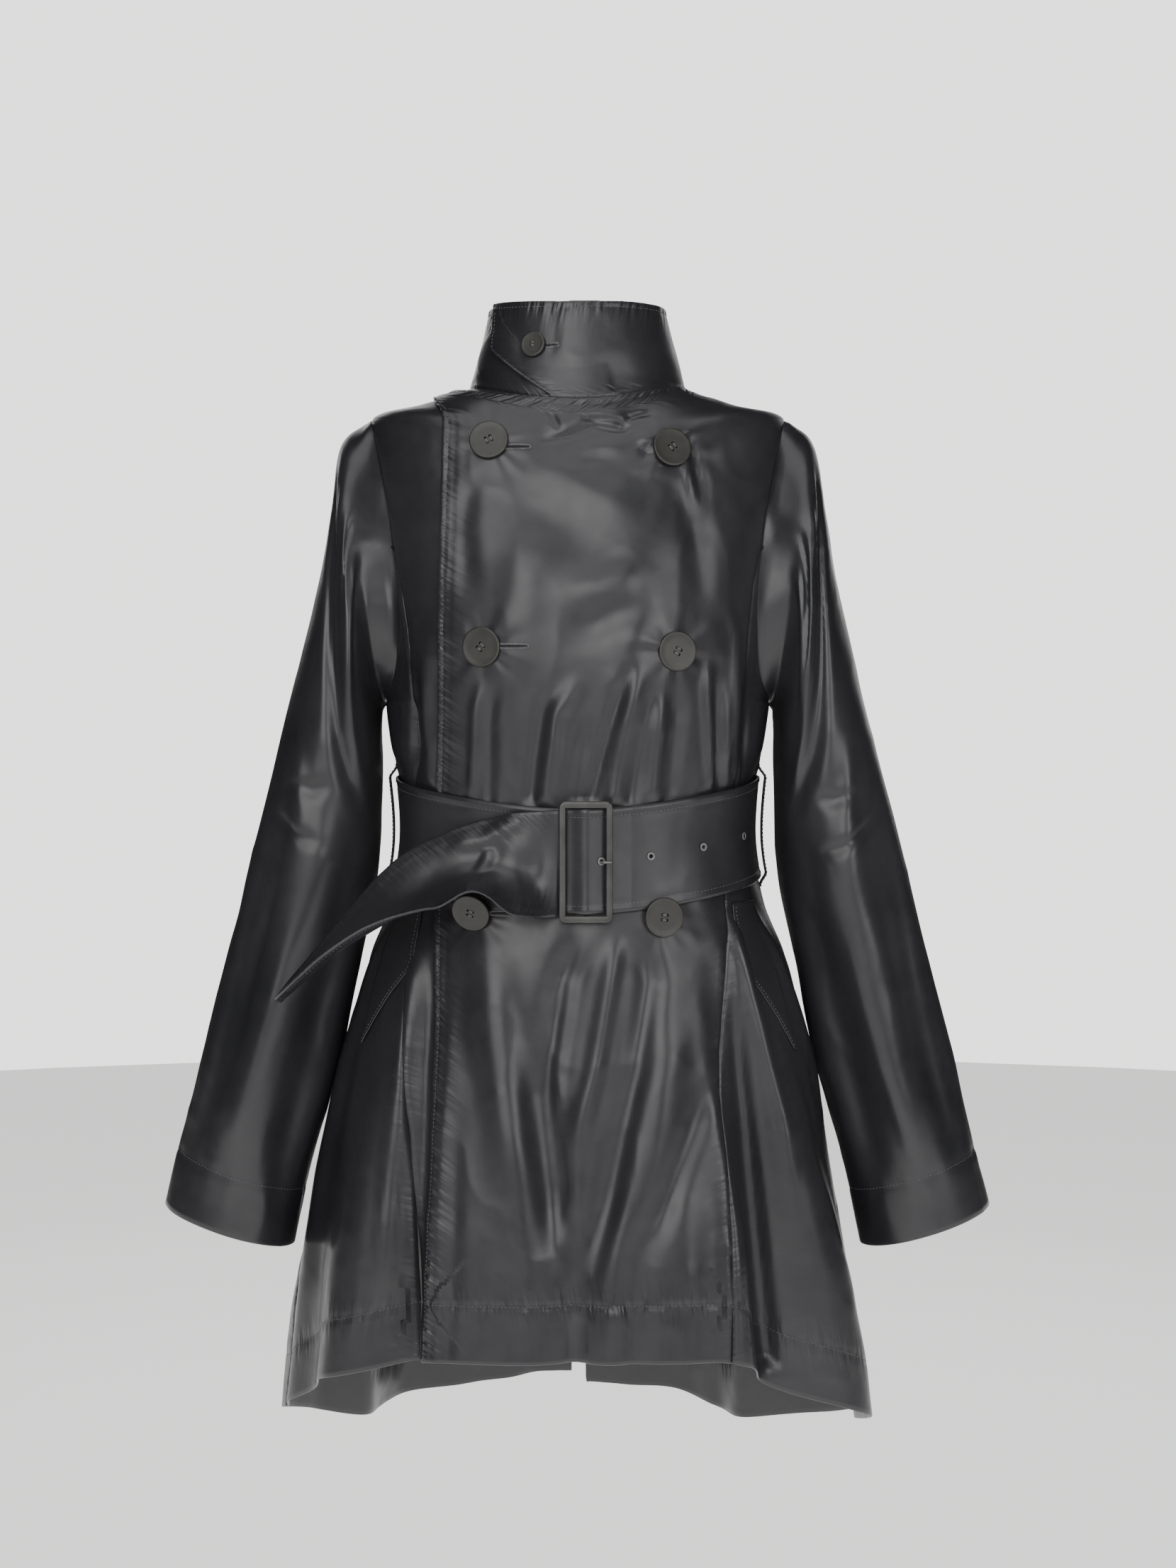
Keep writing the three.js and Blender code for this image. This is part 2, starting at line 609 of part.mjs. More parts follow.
function sleeveSurface(angle, along) {
  const read = (column) => readTable(sleeveSections, 'along', column, along);
  const outer = new THREE.Vector3(read('outerX'), 0, read('outerZ'));
  const inner = new THREE.Vector3(read('innerX'), 0, read('innerZ'));
  const centre = outer.clone().add(inner).multiplyScalar(0.5);
  const across = outer.clone().sub(inner);
  const halfWidth = across.length() / 2;
  across.normalize();
  const forward = Math.cos(radians(angle - rightAngle));
  const depth = forward > 0 ? read('front') : read('back');
  const plain = sectionRadius(angle, depth, halfWidth, halfWidth, sleeveSquare);
  const radius = plain + sleeveFoldDepth(angle, along);
  return centre
    .addScaledVector(across, radius * Math.cos(radians(angle)))
    .add(new THREE.Vector3(0, read('shift') - radius * Math.sin(radians(angle)), 0));
}

function mirrorX(grid) {
  return grid.map((row) => row.map((point) => new THREE.Vector3(-point.x, point.y, point.z)));
}

// Sleeve rings: the armhole's own points first, which turn into the sleeve's sections.
function sleeveGrids(inset) {
  const loop = armholeLoop(-inset, seamGap);
  const angles = loop.map((point) => {
    const middle = sleeveSections[0];
    const centreZ = (middle.outerZ + middle.innerZ) / 2;
    const halfHeight = (middle.outerZ - middle.innerZ) / 2;
    return degrees(Math.atan2(-point.y / middle.front, (point.z - centreZ) / halfHeight));
  });
  const rings = [loop];
  for (let ring = 1; ring <= sleeveRings; ring += 1) {
    const along = sleeveStart + ((1 - sleeveStart) * (ring - 1)) / (sleeveRings - 1);
    const evened = smoothStep(0, sleeveEvenBy, along);
    rings.push(angles.map((start, index) => {
      const even = (fullTurn * index) / loop.length;
      const angle = start + wrapAngle(even - start) * evened;
      const normal = surfaceNormal(sleeveSurface, angle, along, measureStep.turn, measureStep.along);
      return sleeveSurface(angle, along).addScaledVector(normal, inset);
    }));
  }
  return rings;
}

for (const side of sides) {
  const outer = sleeveGrids(0);
  const inner = sleeveGrids(clothThickness);
  const place = (grid) => (side.sign > 0 ? grid.map((row) => row.slice().reverse()) : mirrorX(grid));
  addPiece(`sleeve_${side.name}`, wallGeometry(place(outer), place(inner), true), 'cloth');
}

// Stand collar, a band that laps over itself at the front.
function collarSurface(angle, rise) {
  const read = (column) => readTable(collarSections, 'rise', column, rise);
  const radius = sectionRadius(angle, read('halfWidth'), read('front'), read('back'), collar.square);
  const forward = Math.cos(radians(angle));
  const end = forward > 0 ? read('frontZ') : read('backZ');
  const height = read('sideZ') + (end - read('sideZ')) * forward * forward;
  return new THREE.Vector3(radius * Math.sin(radians(angle)), -radius * Math.cos(radians(angle)), height);
}

function collarNormal(angle, rise) {
  const downwards = (turn, down) => collarSurface(turn, 1 - down);
  return surfaceNormal(downwards, angle, 1 - rise, measureStep.turn, measureStep.rise);
}

function collarPoint(angle, rise, lift) {
  return collarSurface(angle, rise).addScaledVector(collarNormal(angle, rise), lift);
}

function collarLift(angle) {
  return overlapLift * (1 - smoothStep(collar.mergeStart, collar.mergeEnd, angle));
}

function collarGrid(inset) {
  const grid = [];
  for (const rise of spread(1, 0, collar.rows)) {
    const below = clamp(rise / collar.cornerRise, 0, 1);
    const above = clamp((rise - collar.cornerRise) / (1 - collar.cornerRise), 0, 1);
    const start = rise > collar.cornerRise
      ? collar.overEndCorner + (collar.overEndTop - collar.overEndCorner) * above
      : collar.overEndFoot + (collar.overEndCorner - collar.overEndFoot) * below;
    const angles = spread(start, collar.underEnd, collar.columns);
    grid.push(angles.map((angle) => {
      const point = collarPoint(angle, rise, collarLift(angle) - inset);
      point.z += seamGap + collarLift(angle) * collar.lapRise;
      return point;
    }));
  }
  return grid;
}

addPiece('collar', wallGeometry(collarGrid(0), collarGrid(clothThickness), false), 'cloth');

// Belt: the buckle's end first, round the back, then through the buckle.
function beltHeight(angle) {
  const forward = Math.max(0, Math.cos(radians(angle)));
  return belt.sideHeight - belt.frontDroop * forward ** belt.droopPower;
}

function beltDown(angle, height) {
  const waist = bodySections.find((row) => row.down === waistDown);
  return height >= waist.height
    ? waistDown - (height - waist.height)
    : waistDown + ((waist.height - height) * (hemDown - waistDown))
      / (waist.height - hemHeight(angle));
}

// Surface of the coat without its folds, which the belt spans.
function beltSurface(angle, down) {
  const section = bodySection(down);
  const radius = sectionRadius(angle, section.halfWidth, section.front, section.back, section.square);
  return new THREE.Vector3(
    radius * Math.sin(radians(angle)),
    -radius * Math.cos(radians(angle)),
    bodyHeight(angle, down, section),
  );
}

function beltPoint(angle, height, lift) {
  const down = beltDown(angle, height);
  const normal = surfaceNormal(beltSurface, angle, down, measureStep.angle, measureStep.down);
  return beltSurface(angle, down).addScaledVector(normal, lift);
}

// Lift of the belt's inner face. Its loose part comes first, under the buckle's left bar.
function beltLift(angle) {
  const aside = Math.abs(wrapAngle(angle));
  const overFronts = overlapLift * (1 - smoothStep(beltOffFronts.start, beltOffFronts.end, aside));
  if (angle > rightAngle) return overFronts + belt.lift;
  const x = beltSurface(angle, waistDown - belt.width / 2).x;
  return overFronts + readTable(beltThroughBuckle, 'x', 'stand', x);
}

function beltGrid(lift) {
  const start = frontAngle(beltThroughBuckle[0].x, waistDown - belt.width / 2);
  const near = spread(start, beltBuckleAngle, beltBuckleColumns);
  const round = spread(beltBuckleAngle, belt.footAngle, belt.columns - beltBuckleColumns);
  const angles = [...near, ...round.slice(1)];
  return spread(0.5, -0.5, belt.rows - 1).map((share) => angles.map((angle) => (
    beltPoint(angle, beltHeight(angle) + share * belt.width, beltLift(angle) + lift)
  )));
}

// Turns a mesh geometry into a solid that can be joined and cut.
function toSolid(geometry) {
  const bare = geometry.clone();
  bare.deleteAttribute('normal');
  bare.deleteAttribute('uv');
  const merged = mergeVertices(bare, mergeDistance);
  return new wasm.Manifold(new wasm.Mesh({
    numProp: 3,
    vertProperties: new Float32Array(merged.attributes.position.array),
    triVerts: new Uint32Array(merged.index.array),
  }));
}

function toGeometry(solid) {
  const mesh = solid.getMesh();
  const geometry = new THREE.BufferGeometry();
  geometry.setAttribute('position', new THREE.BufferAttribute(mesh.vertProperties, 3));
  geometry.setIndex(new THREE.BufferAttribute(mesh.triVerts, 1));
  return geometry;
}

// Turns a geometry whose own axis is +Y so that this axis points along a direction at a place.
function placeAlong(geometry, direction, place) {
  const turn = new THREE.Quaternion().setFromUnitVectors(new THREE.Vector3(0, 1, 0), direction);
  return geometry.applyQuaternion(turn).translate(place.x, place.y, place.z);
}

const beltOutside = (angle) => beltPoint(angle, beltHeight(angle), beltLift(angle) + beltThickness);
const beltNormal = (angle) => {
  const across = beltOutside(angle + 1).sub(beltOutside(angle - 1));
  return across.cross(new THREE.Vector3(0, 0, 1)).normalize();
};

let beltSolid = toSolid(wallGeometry(beltGrid(beltThickness), beltGrid(0), false));
eyelet.xs.forEach((x, index) => {
  const angle = frontAngle(x, waistDown - belt.width / 2);
  const direction = beltNormal(angle);
  const hole = new THREE.CylinderGeometry(eyelet.inner, eyelet.inner, 3 * beltThickness, eyelet.sides);
  beltSolid = beltSolid.subtract(toSolid(placeAlong(hole, direction, beltOutside(angle))));
  const ring = new THREE.LatheGeometry([
    new THREE.Vector2(eyelet.inner, 0),
    new THREE.Vector2(eyelet.outer, 0),
    new THREE.Vector2(eyelet.outer, eyelet.height / 2),
    new THREE.Vector2((eyelet.inner + eyelet.outer) / 2, eyelet.height),
    new THREE.Vector2(eyelet.inner, eyelet.height / 2),
    new THREE.Vector2(eyelet.inner, 0),
  ], eyelet.sides);
  const seat = beltOutside(angle).addScaledVector(direction, eyelet.stand);
  addPiece(`eyelet_${index + 1}`, placeAlong(ring, direction, seat), 'eyelet');
});
addPiece('belt', toGeometry(beltSolid), 'cloth');

// Loose end of the belt, which leans forward, curls and thins to a rounded tip.
const tailCentres = tailSections.map((row) => new THREE.Vector3(row.x, row.y, row.z));
const tailPath = new THREE.CatmullRomCurve3(tailCentres);

function tailPoint(share, across, lift) {
  const place = share * (tailSections.length - 1);
  const centre = tailPath.getPoint(share);
  const tangent = tailPath.getTangent(share);
  const rows = tailSections.map((row, index) => ({ ...row, index }));
  const lean = radians(readTable(rows, 'index', 'lean', place));
  const curl = readTable(rows, 'index', 'curl', place);
  const forward = new THREE.Vector3(0, -1, 0).addScaledVector(tangent, tangent.y).normalize();
  const up = tangent.clone().cross(forward);
  const wide = up.clone().multiplyScalar(Math.cos(lean)).addScaledVector(forward, Math.sin(lean));
  const face = forward.multiplyScalar(Math.cos(lean)).addScaledVector(up, -Math.sin(lean));
  const tip = clamp((share - tailTip.start) / (1 - tailTip.start), 0, 1);
  const width = belt.width * (1 - (1 - tailTip.endShare) * tip ** tailTip.power);
  return centre
    .addScaledVector(wide, (width / 2) * across)
    .addScaledVector(face, lift - curl * (1 - across * across));
}

function tailGrid(lift) {
  return spread(1, -1, tailRows - 1).map((across) => (
    spread(1, 0, tailStations).map((share) => tailPoint(share, across, lift))
  ));
}

const tailWall = wallGeometry(tailGrid(beltThickness / 2), tailGrid(-beltThickness / 2), false);
addPiece('belt_tail', tailWall, 'cloth');

// Buckle: a rounded frame with a centre bar, standing off the over front.
const buckleFront = -(bodySection(beltDown(0, buckle.z)).front + overlapLift);

function roundedRectangle(width, height, corner, path) {
  const [x, y] = [width / 2, height / 2];
  path.moveTo(-x + corner, -y);
  path.lineTo(x - corner, -y);
  path.quadraticCurveTo(x, -y, x, -y + corner);
  path.lineTo(x, y - corner);
  path.quadraticCurveTo(x, y, x - corner, y);
  path.lineTo(-x + corner, y);
  path.quadraticCurveTo(-x, y, -x, y - corner);
  path.lineTo(-x, -y + corner);
  path.quadraticCurveTo(-x, -y, -x + corner, -y);
  return path;
}

function buckleFrame() {
  const inset = buckle.bevel;
  const [width, height] = [buckle.width - 2 * inset, buckle.height - 2 * inset];
  const outline = roundedRectangle(width, height, buckle.corner, new THREE.Shape());
  const thinner = 2 * buckle.bar - 4 * inset;
  const opening = roundedRectangle(width - thinner, height - thinner, buckle.innerCorner, new THREE.Path());
  outline.holes.push(opening);
  const frame = new THREE.ExtrudeGeometry(outline, {
    depth: buckle.depth - 2 * inset,
    bevelThickness: inset,
    bevelSize: inset,
    bevelSegments: 2,
    curveSegments: 3,
  });
  frame.translate(0, 0, inset).rotateX(Math.PI / 2);
  frame.translate(buckle.x, buckleFront - buckle.stand, buckle.z);
  const barLength = buckle.height - buckle.bar;
  const bar = new THREE.CylinderGeometry(centreBar.radius, centreBar.radius, barLength, centreBar.sides);
  bar.rotateX(Math.PI / 2).translate(buckle.x, buckleFront - centreBar.stand, buckle.z);
  return toGeometry(toSolid(frame).add(toSolid(bar)));
}

addPiece('buckle_frame', buckleFrame(), 'buckle');

// Prong: from beside the centre bar, up through the first eyelet and over the right bar.
const prongPath = new THREE.CatmullRomCurve3(prongPoints.map((row) => (
  new THREE.Vector3(row.x, buckleFront - row.stand, buckle.z)
)));
const prongSection = new THREE.Shape().absarc(0, 0, prong.radius, 0, 2 * Math.PI, false);
addPiece('buckle_prong', new THREE.ExtrudeGeometry(prongSection, {
  steps: prong.steps, curveSegments: prong.curveSegments, extrudePath: prongPath,
}), 'buckle');

// Buttons: discs with a raised rim and a shallow dish.
function buttonGeometry(size) {
  const radius = size.diameter / 2;
  return new THREE.LatheGeometry([
    new THREE.Vector2(0, 0),
    new THREE.Vector2(radius * buttonProfile.foot, 0),
    new THREE.Vector2(radius, size.thickness * buttonProfile.waist),
    new THREE.Vector2(radius - buttonProfile.rimRound, size.thickness),
    new THREE.Vector2(radius - size.rim, size.thickness - size.dish),
    new THREE.Vector2(0, size.thickness - size.dish),
  ], size.sides);
}

// Distance down the side of the coat where its front reaches a height at a half-width.
function downAtHeight(x, height) {
  let [low, high] = [0, hemDown];
  for (let step = 0; step < bisectionSteps; step += 1) {
    const middle = (low + high) / 2;
    if (bodySurface(frontAngle(x, middle), middle).z > height) low = middle;
    else high = middle;
  }
  return (low + high) / 2;
}

for (const button of frontButtons) {
  const down = downAtHeight(button.x, button.z);
  const angle = frontAngle(button.x, down);
  const normal = surfaceNormal(bodySurface, angle, down, measureStep.angle, measureStep.down);
  const seat = coatPoint(angle, down, overLift(angle, down) + button.stand);
  const side = new THREE.Vector3(0, 0, 1).cross(normal).normalize();
  normal.applyAxisAngle(side, radians(button.nod));
  normal.applyAxisAngle(new THREE.Vector3(0, 0, 1), radians(button.turn));
  addPiece(button.name, placeAlong(buttonGeometry(largeButton), normal, seat), 'button');
}

function collarButtonGeometry() {
  const [foot, above, , top] = collarSections;
  const rise = (collarButton.z - foot.frontZ) / (top.frontZ - foot.frontZ);
  const angle = -degrees(Math.atan2(-collarButton.x, above.front));
  const seat = collarPoint(angle, rise, overlapLift + collarButton.stand);
  return placeAlong(buttonGeometry(smallButton), collarNormal(angle, rise), seat);
}

addPiece('button_collar', collarButtonGeometry(), 'button');

// Prism of a pocket welt's outline, pushed out square to its part of the side front.
function pocketCutter(side) {
  const outline = pocketOutline.map((row) => new THREE.Vector2(side.sign * row.across, row.height));
  const cutter = new THREE.ExtrudeGeometry(new THREE.Shape(outline), {
    depth: pocketCut.far - pocketCut.near, bevelEnabled: false,
  });
  return cutter.translate(0, 0, pocketCut.near).rotateX(Math.PI / 2)
    .rotateZ(radians(side.sign * pocketCut.angle));
}

// A belt loop over a side seam, which stands off the belt and comes down to the coat at both ends.
function beltLoopGeometry(side) {
  const middle = beltDown(rightAngle, belt.sideHeight);
  const reach = belt.width / 2 + beltLoop.reach;
  const rows = spread(middle - reach, middle + reach, beltLoop.rows);
  const half = beltLoop.arc + gapAngle(rightAngle, middle, beltLoop.width / 2);
  const loopAngles = () => onSide(side, [rightAngle - half, rightAngle + half]);
  const lift = (angle, down) => {
    const share = clamp(Math.abs(down - middle) / reach, 0, 1);
    const raised = 1 - smoothStep(beltLoop.flatShare, 1, share);
    return beltLoop.thickness + seamGap + beltLoop.stand * raised;
  };
  return bodyWall(rows, loopAngles, lift, beltLoop.thickness);
}

// A slanted pocket welt, cut from a wall that lies on the side front.
function pocketGeometry(side) {
  const angles = (down) => sideFrontAngles(side, down);
  const lifted = bodyWall(sideRows, angles, () => weltLift.outer, weltLift.thickness);
  return toGeometry(toSolid(lifted).intersect(toSolid(pocketCutter(side))));
}

for (const side of sides) {
  addPiece(`belt_loop_${side.name}`, beltLoopGeometry(side), 'cloth');
  addPiece(`pocket_${side.name}`, pocketGeometry(side), 'cloth');
}

export default coat;
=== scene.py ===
"""Dresses a double-breasted belted trench coat: its cloth, sewing, buttons and buckle."""
import logging
import math
from dataclasses import dataclass, field
from enum import Enum
from typing import Sequence

import bmesh
import bpy
import numpy as np
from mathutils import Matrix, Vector


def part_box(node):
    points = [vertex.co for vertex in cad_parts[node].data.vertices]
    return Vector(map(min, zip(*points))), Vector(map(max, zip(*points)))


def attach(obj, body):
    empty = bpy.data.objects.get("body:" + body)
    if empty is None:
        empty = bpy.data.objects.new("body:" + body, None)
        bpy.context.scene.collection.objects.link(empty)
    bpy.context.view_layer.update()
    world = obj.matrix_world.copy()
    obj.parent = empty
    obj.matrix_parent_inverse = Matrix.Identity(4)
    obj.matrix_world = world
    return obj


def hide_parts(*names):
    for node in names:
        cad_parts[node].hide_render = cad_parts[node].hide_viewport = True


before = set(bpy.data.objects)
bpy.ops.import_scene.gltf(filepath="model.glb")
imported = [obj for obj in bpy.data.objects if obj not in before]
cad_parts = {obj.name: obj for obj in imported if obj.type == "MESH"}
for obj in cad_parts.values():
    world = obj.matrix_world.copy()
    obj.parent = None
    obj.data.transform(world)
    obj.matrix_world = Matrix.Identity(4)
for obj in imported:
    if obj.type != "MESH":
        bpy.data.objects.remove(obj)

Array = np.ndarray
Piece = bpy.types.Object
Material = bpy.types.Material
Mesh = bpy.types.Mesh
Socket = bpy.types.NodeSocket
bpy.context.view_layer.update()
MM = 0.001
RIGHT_ANGLE = 90.0
SIDES = (("left", 1), ("right", -1))
LOG = logging.getLogger("coat")


def smooth_step(start: float, end: float, value: Array) -> Array:
    """Rises smoothly from 0 at start to 1 at end."""
    share = np.clip((value - start) / (end - start), 0.0, 1.0)
    return share * share * (3.0 - 2.0 * share)


def bump(distance: Array, half_width: float) -> Array:
    """A smooth bump of height 1 that ends at its half-width."""
    inside = np.abs(distance) < half_width
    return np.where(inside, 0.5 * (1.0 + np.cos(np.pi * distance / half_width)), 0.0)


def wrap_angle(angle: Array) -> Array:
    """Turns degrees into the same direction between -180 and 180."""
    return (angle + 180.0) % 360.0 - 180.0


def unit(vectors: Array) -> Array:
    """Scales vectors on the last axis to length 1."""
    return vectors / np.maximum(np.linalg.norm(vectors, axis=-1, keepdims=True), 1e-9)


def lattice_noise(points: Array, size: float | Sequence[float], seed: int) -> Array:
    """Smooth noise between -1 and 1 that is the same on each run.

    Args:
        points: Points in millimetres, on the last axis.
        size: Width of its cells, alike or along each axis.
        seed: Number that picks the pattern.

    Returns:
        The noise at each point.
    """
    cell = points / np.asarray(size, float)
    base = np.floor(cell)
    part = cell - base
    part = part * part * (3.0 - 2.0 * part)
    total = np.zeros(points.shape[:-1])
    for corner in np.ndindex(*([2] * points.shape[-1])):
        mixed = (base + corner) @ np.array([127.1, 311.7, 74.7])[: points.shape[-1]]
        mixed = np.sin(mixed + seed * 19.19) * 43758.5453
        value = 2.0 * (mixed - np.floor(mixed)) - 1.0
        total += value * np.prod(np.where(np.array(corner), part, 1.0 - part), axis=-1)
    return total


class Table:
    """Rows of sizes along one measure, read with the smooth curve that the solids follow."""

    def __init__(self, columns: str, rows: Sequence[Sequence[float]]) -> None:
        """Keeps the rows.

        Args:
            columns: Names of the columns, the measure first.
            rows: Values of each row.
        """
        self.columns = columns.split()
        self.rows = np.array(rows, float)

    def read(self, column: str, at: Array) -> Array:
        """Reads a column between its rows.

        Args:
            column: Name of the column.
            at: Places along the measure.

        Returns:
            The column's value at each place.
        """
        key, value = self.rows[:, 0], self.rows[:, self.columns.index(column)]
        place = np.clip(at, key[0], key[-1])
        low = np.clip(np.searchsorted(key, place) - 1, 0, len(key) - 2)
        before = np.maximum(np.arange(len(key)) - 1, 0)
        after = np.minimum(np.arange(len(key)) + 1, len(key) - 1)
        slope = (value[after] - value[before]) / (key[after] - key[before])
        span = key[low + 1] - key[low]
        share = (place - key[low]) / span
        square, cube = share**2, share**3
        return (
            (2 * cube - 3 * square + 1) * value[low]
            + (cube - 2 * square + share) * span * slope[low]
            + (3 * square - 2 * cube) * value[low + 1]
            + (cube - square) * span * slope[low + 1]
        )


@dataclass(frozen=True)
class Crease:
    """A soft trough or ridge along a line on cloth, in millimetres.

    A path is across and up; a depth above 0 is a ridge; ends is the share that fades at each end.
    """

    path: tuple[tuple[float, float], ...]
    width: float
    depth: float
    ends: tuple[float, float] = (0.35, 0.35)
    lip: float = 0.6

    def relief(self, across: Array, height: Array) -> Array:
        """Height of this crease over a chart of the cloth.

        Args:
            across: Place across of each point.
            height: Place up of each point.

        Returns:
            How far each point moves out.
        """
        path = np.array(self.path)
        steps = np.linalg.norm(np.diff(path, axis=0), axis=1)
        starts = np.concatenate([[0.0], np.cumsum(steps)])
        nearest, along = np.full(across.shape, np.inf), np.zeros(across.shape)
        for index, step in enumerate(steps):
            way = (path[index + 1] - path[index]) / step
            reach = (across - path[index][0]) * way[0] + (height - path[index][1]) * way[1]
            reach = np.clip(reach, 0.0, step)
            off_across = across - path[index][0] - reach * way[0]
            off_height = height - path[index][1] - reach * way[1]
            aside = np.hypot(off_across, off_height)
            closer = aside < nearest
            nearest = np.where(closer, aside, nearest)
            along = np.where(closer, (starts[index] + reach) / starts[-1], along)
        grown = smooth_step(0.0, self.ends[0], along) if self.ends[0] else 1.0
        ended = smooth_step(0.0, self.ends[1], 1.0 - along) if self.ends[1] else 1.0
        ratio = (nearest / self.width) ** 2
        return self.depth * grown * ended * (1.0 - self.lip * ratio) * np.exp(-ratio)


def creases(*rows: tuple) -> list[Crease]:
    """Makes a crease from each row of a path, a width, a depth, the ends and the lip."""
    return [Crease(*row) for row in rows]


def crease_relief(chart: Sequence[Crease], across: Array, height: Array) -> Array:
    """Adds up the relief of several creases over one chart."""
    return sum((crease.relief(across, height) for crease in chart), np.zeros(across.shape))


def pucker(along: Array, aside: Array, wave: float, reach: float, seed: int) -> Array:
    """Small gathers beside a line of sewing.

    Args:
        along: Place along the line, in millimetres.
        aside: Distance from the line.
        wave: Usual width of a gather.
        reach: Distance over which they fade.
        seed: Number that picks the pattern.

    Returns:
        Height of the gathers, between about -1 and 1.
    """
    lean = along + 0.25 * np.abs(aside)
    fine = lattice_noise(np.stack([lean, aside * 0.35], -1), wave, seed)
    broad = lattice_noise(np.stack([lean, aside * 0.35], -1), wave * 2.3, seed + 7)
    return (0.65 * fine + 0.5 * broad) * np.exp(-np.abs(aside) / reach)


# Relief of each line of sewing: depth of its groove, height and width of its gathers, and their seed.
SEAM_RELIEF = {
    "front_edge": (0.45, 0.75, 9.0, 31), "front_hem": (0.5, 0.9, 14.0, 33),
    "over_princess": (0.9, 0.7, 14.0, 35), "over_neck": (0.4, 1.0, 8.0, 37),
    "under_princess": (0.9, 0.8, 14.0, 41), "side_princess": (0.9, 0.8, 13.0, 61),
    "side_seam": (0.9, 0.8, 14.0, 63), "side_hem": (0.5, 1.0, 13.0, 65),
    "centre_seam": (0.9, 0.8, 14.0, 73), "back_hem": (0.5, 1.0, 13.0, 75),
    "back_neck": (0.4, 0.9, 12.0, 77), "lining_hem": (0.3, -0.3, 12.0, 81),
    "collar_top": (0.35, 0.8, 6.0, 101), "collar_end": (0.35, 0.7, 6.0, 103),
    "collar_seam": (0.7, 0.8, 12.0, 105), "belt_top": (0.4, 0.35, 14.0, 111),
    "belt_foot": (0.4, 0.35, 14.0, 113), "tail_top": (0.4, 0.5, 14.0, 121),
    "tail_foot": (0.4, 0.5, 14.0, 123), "welt": (0.3, 0.3, 10.0, 131),
}


class Edge(Enum):
    """Edges of a piece of cloth, as its grid runs."""

    FIRST = "first"
    LAST = "last"
    TOP = "top"
    BOTTOM = "bottom"


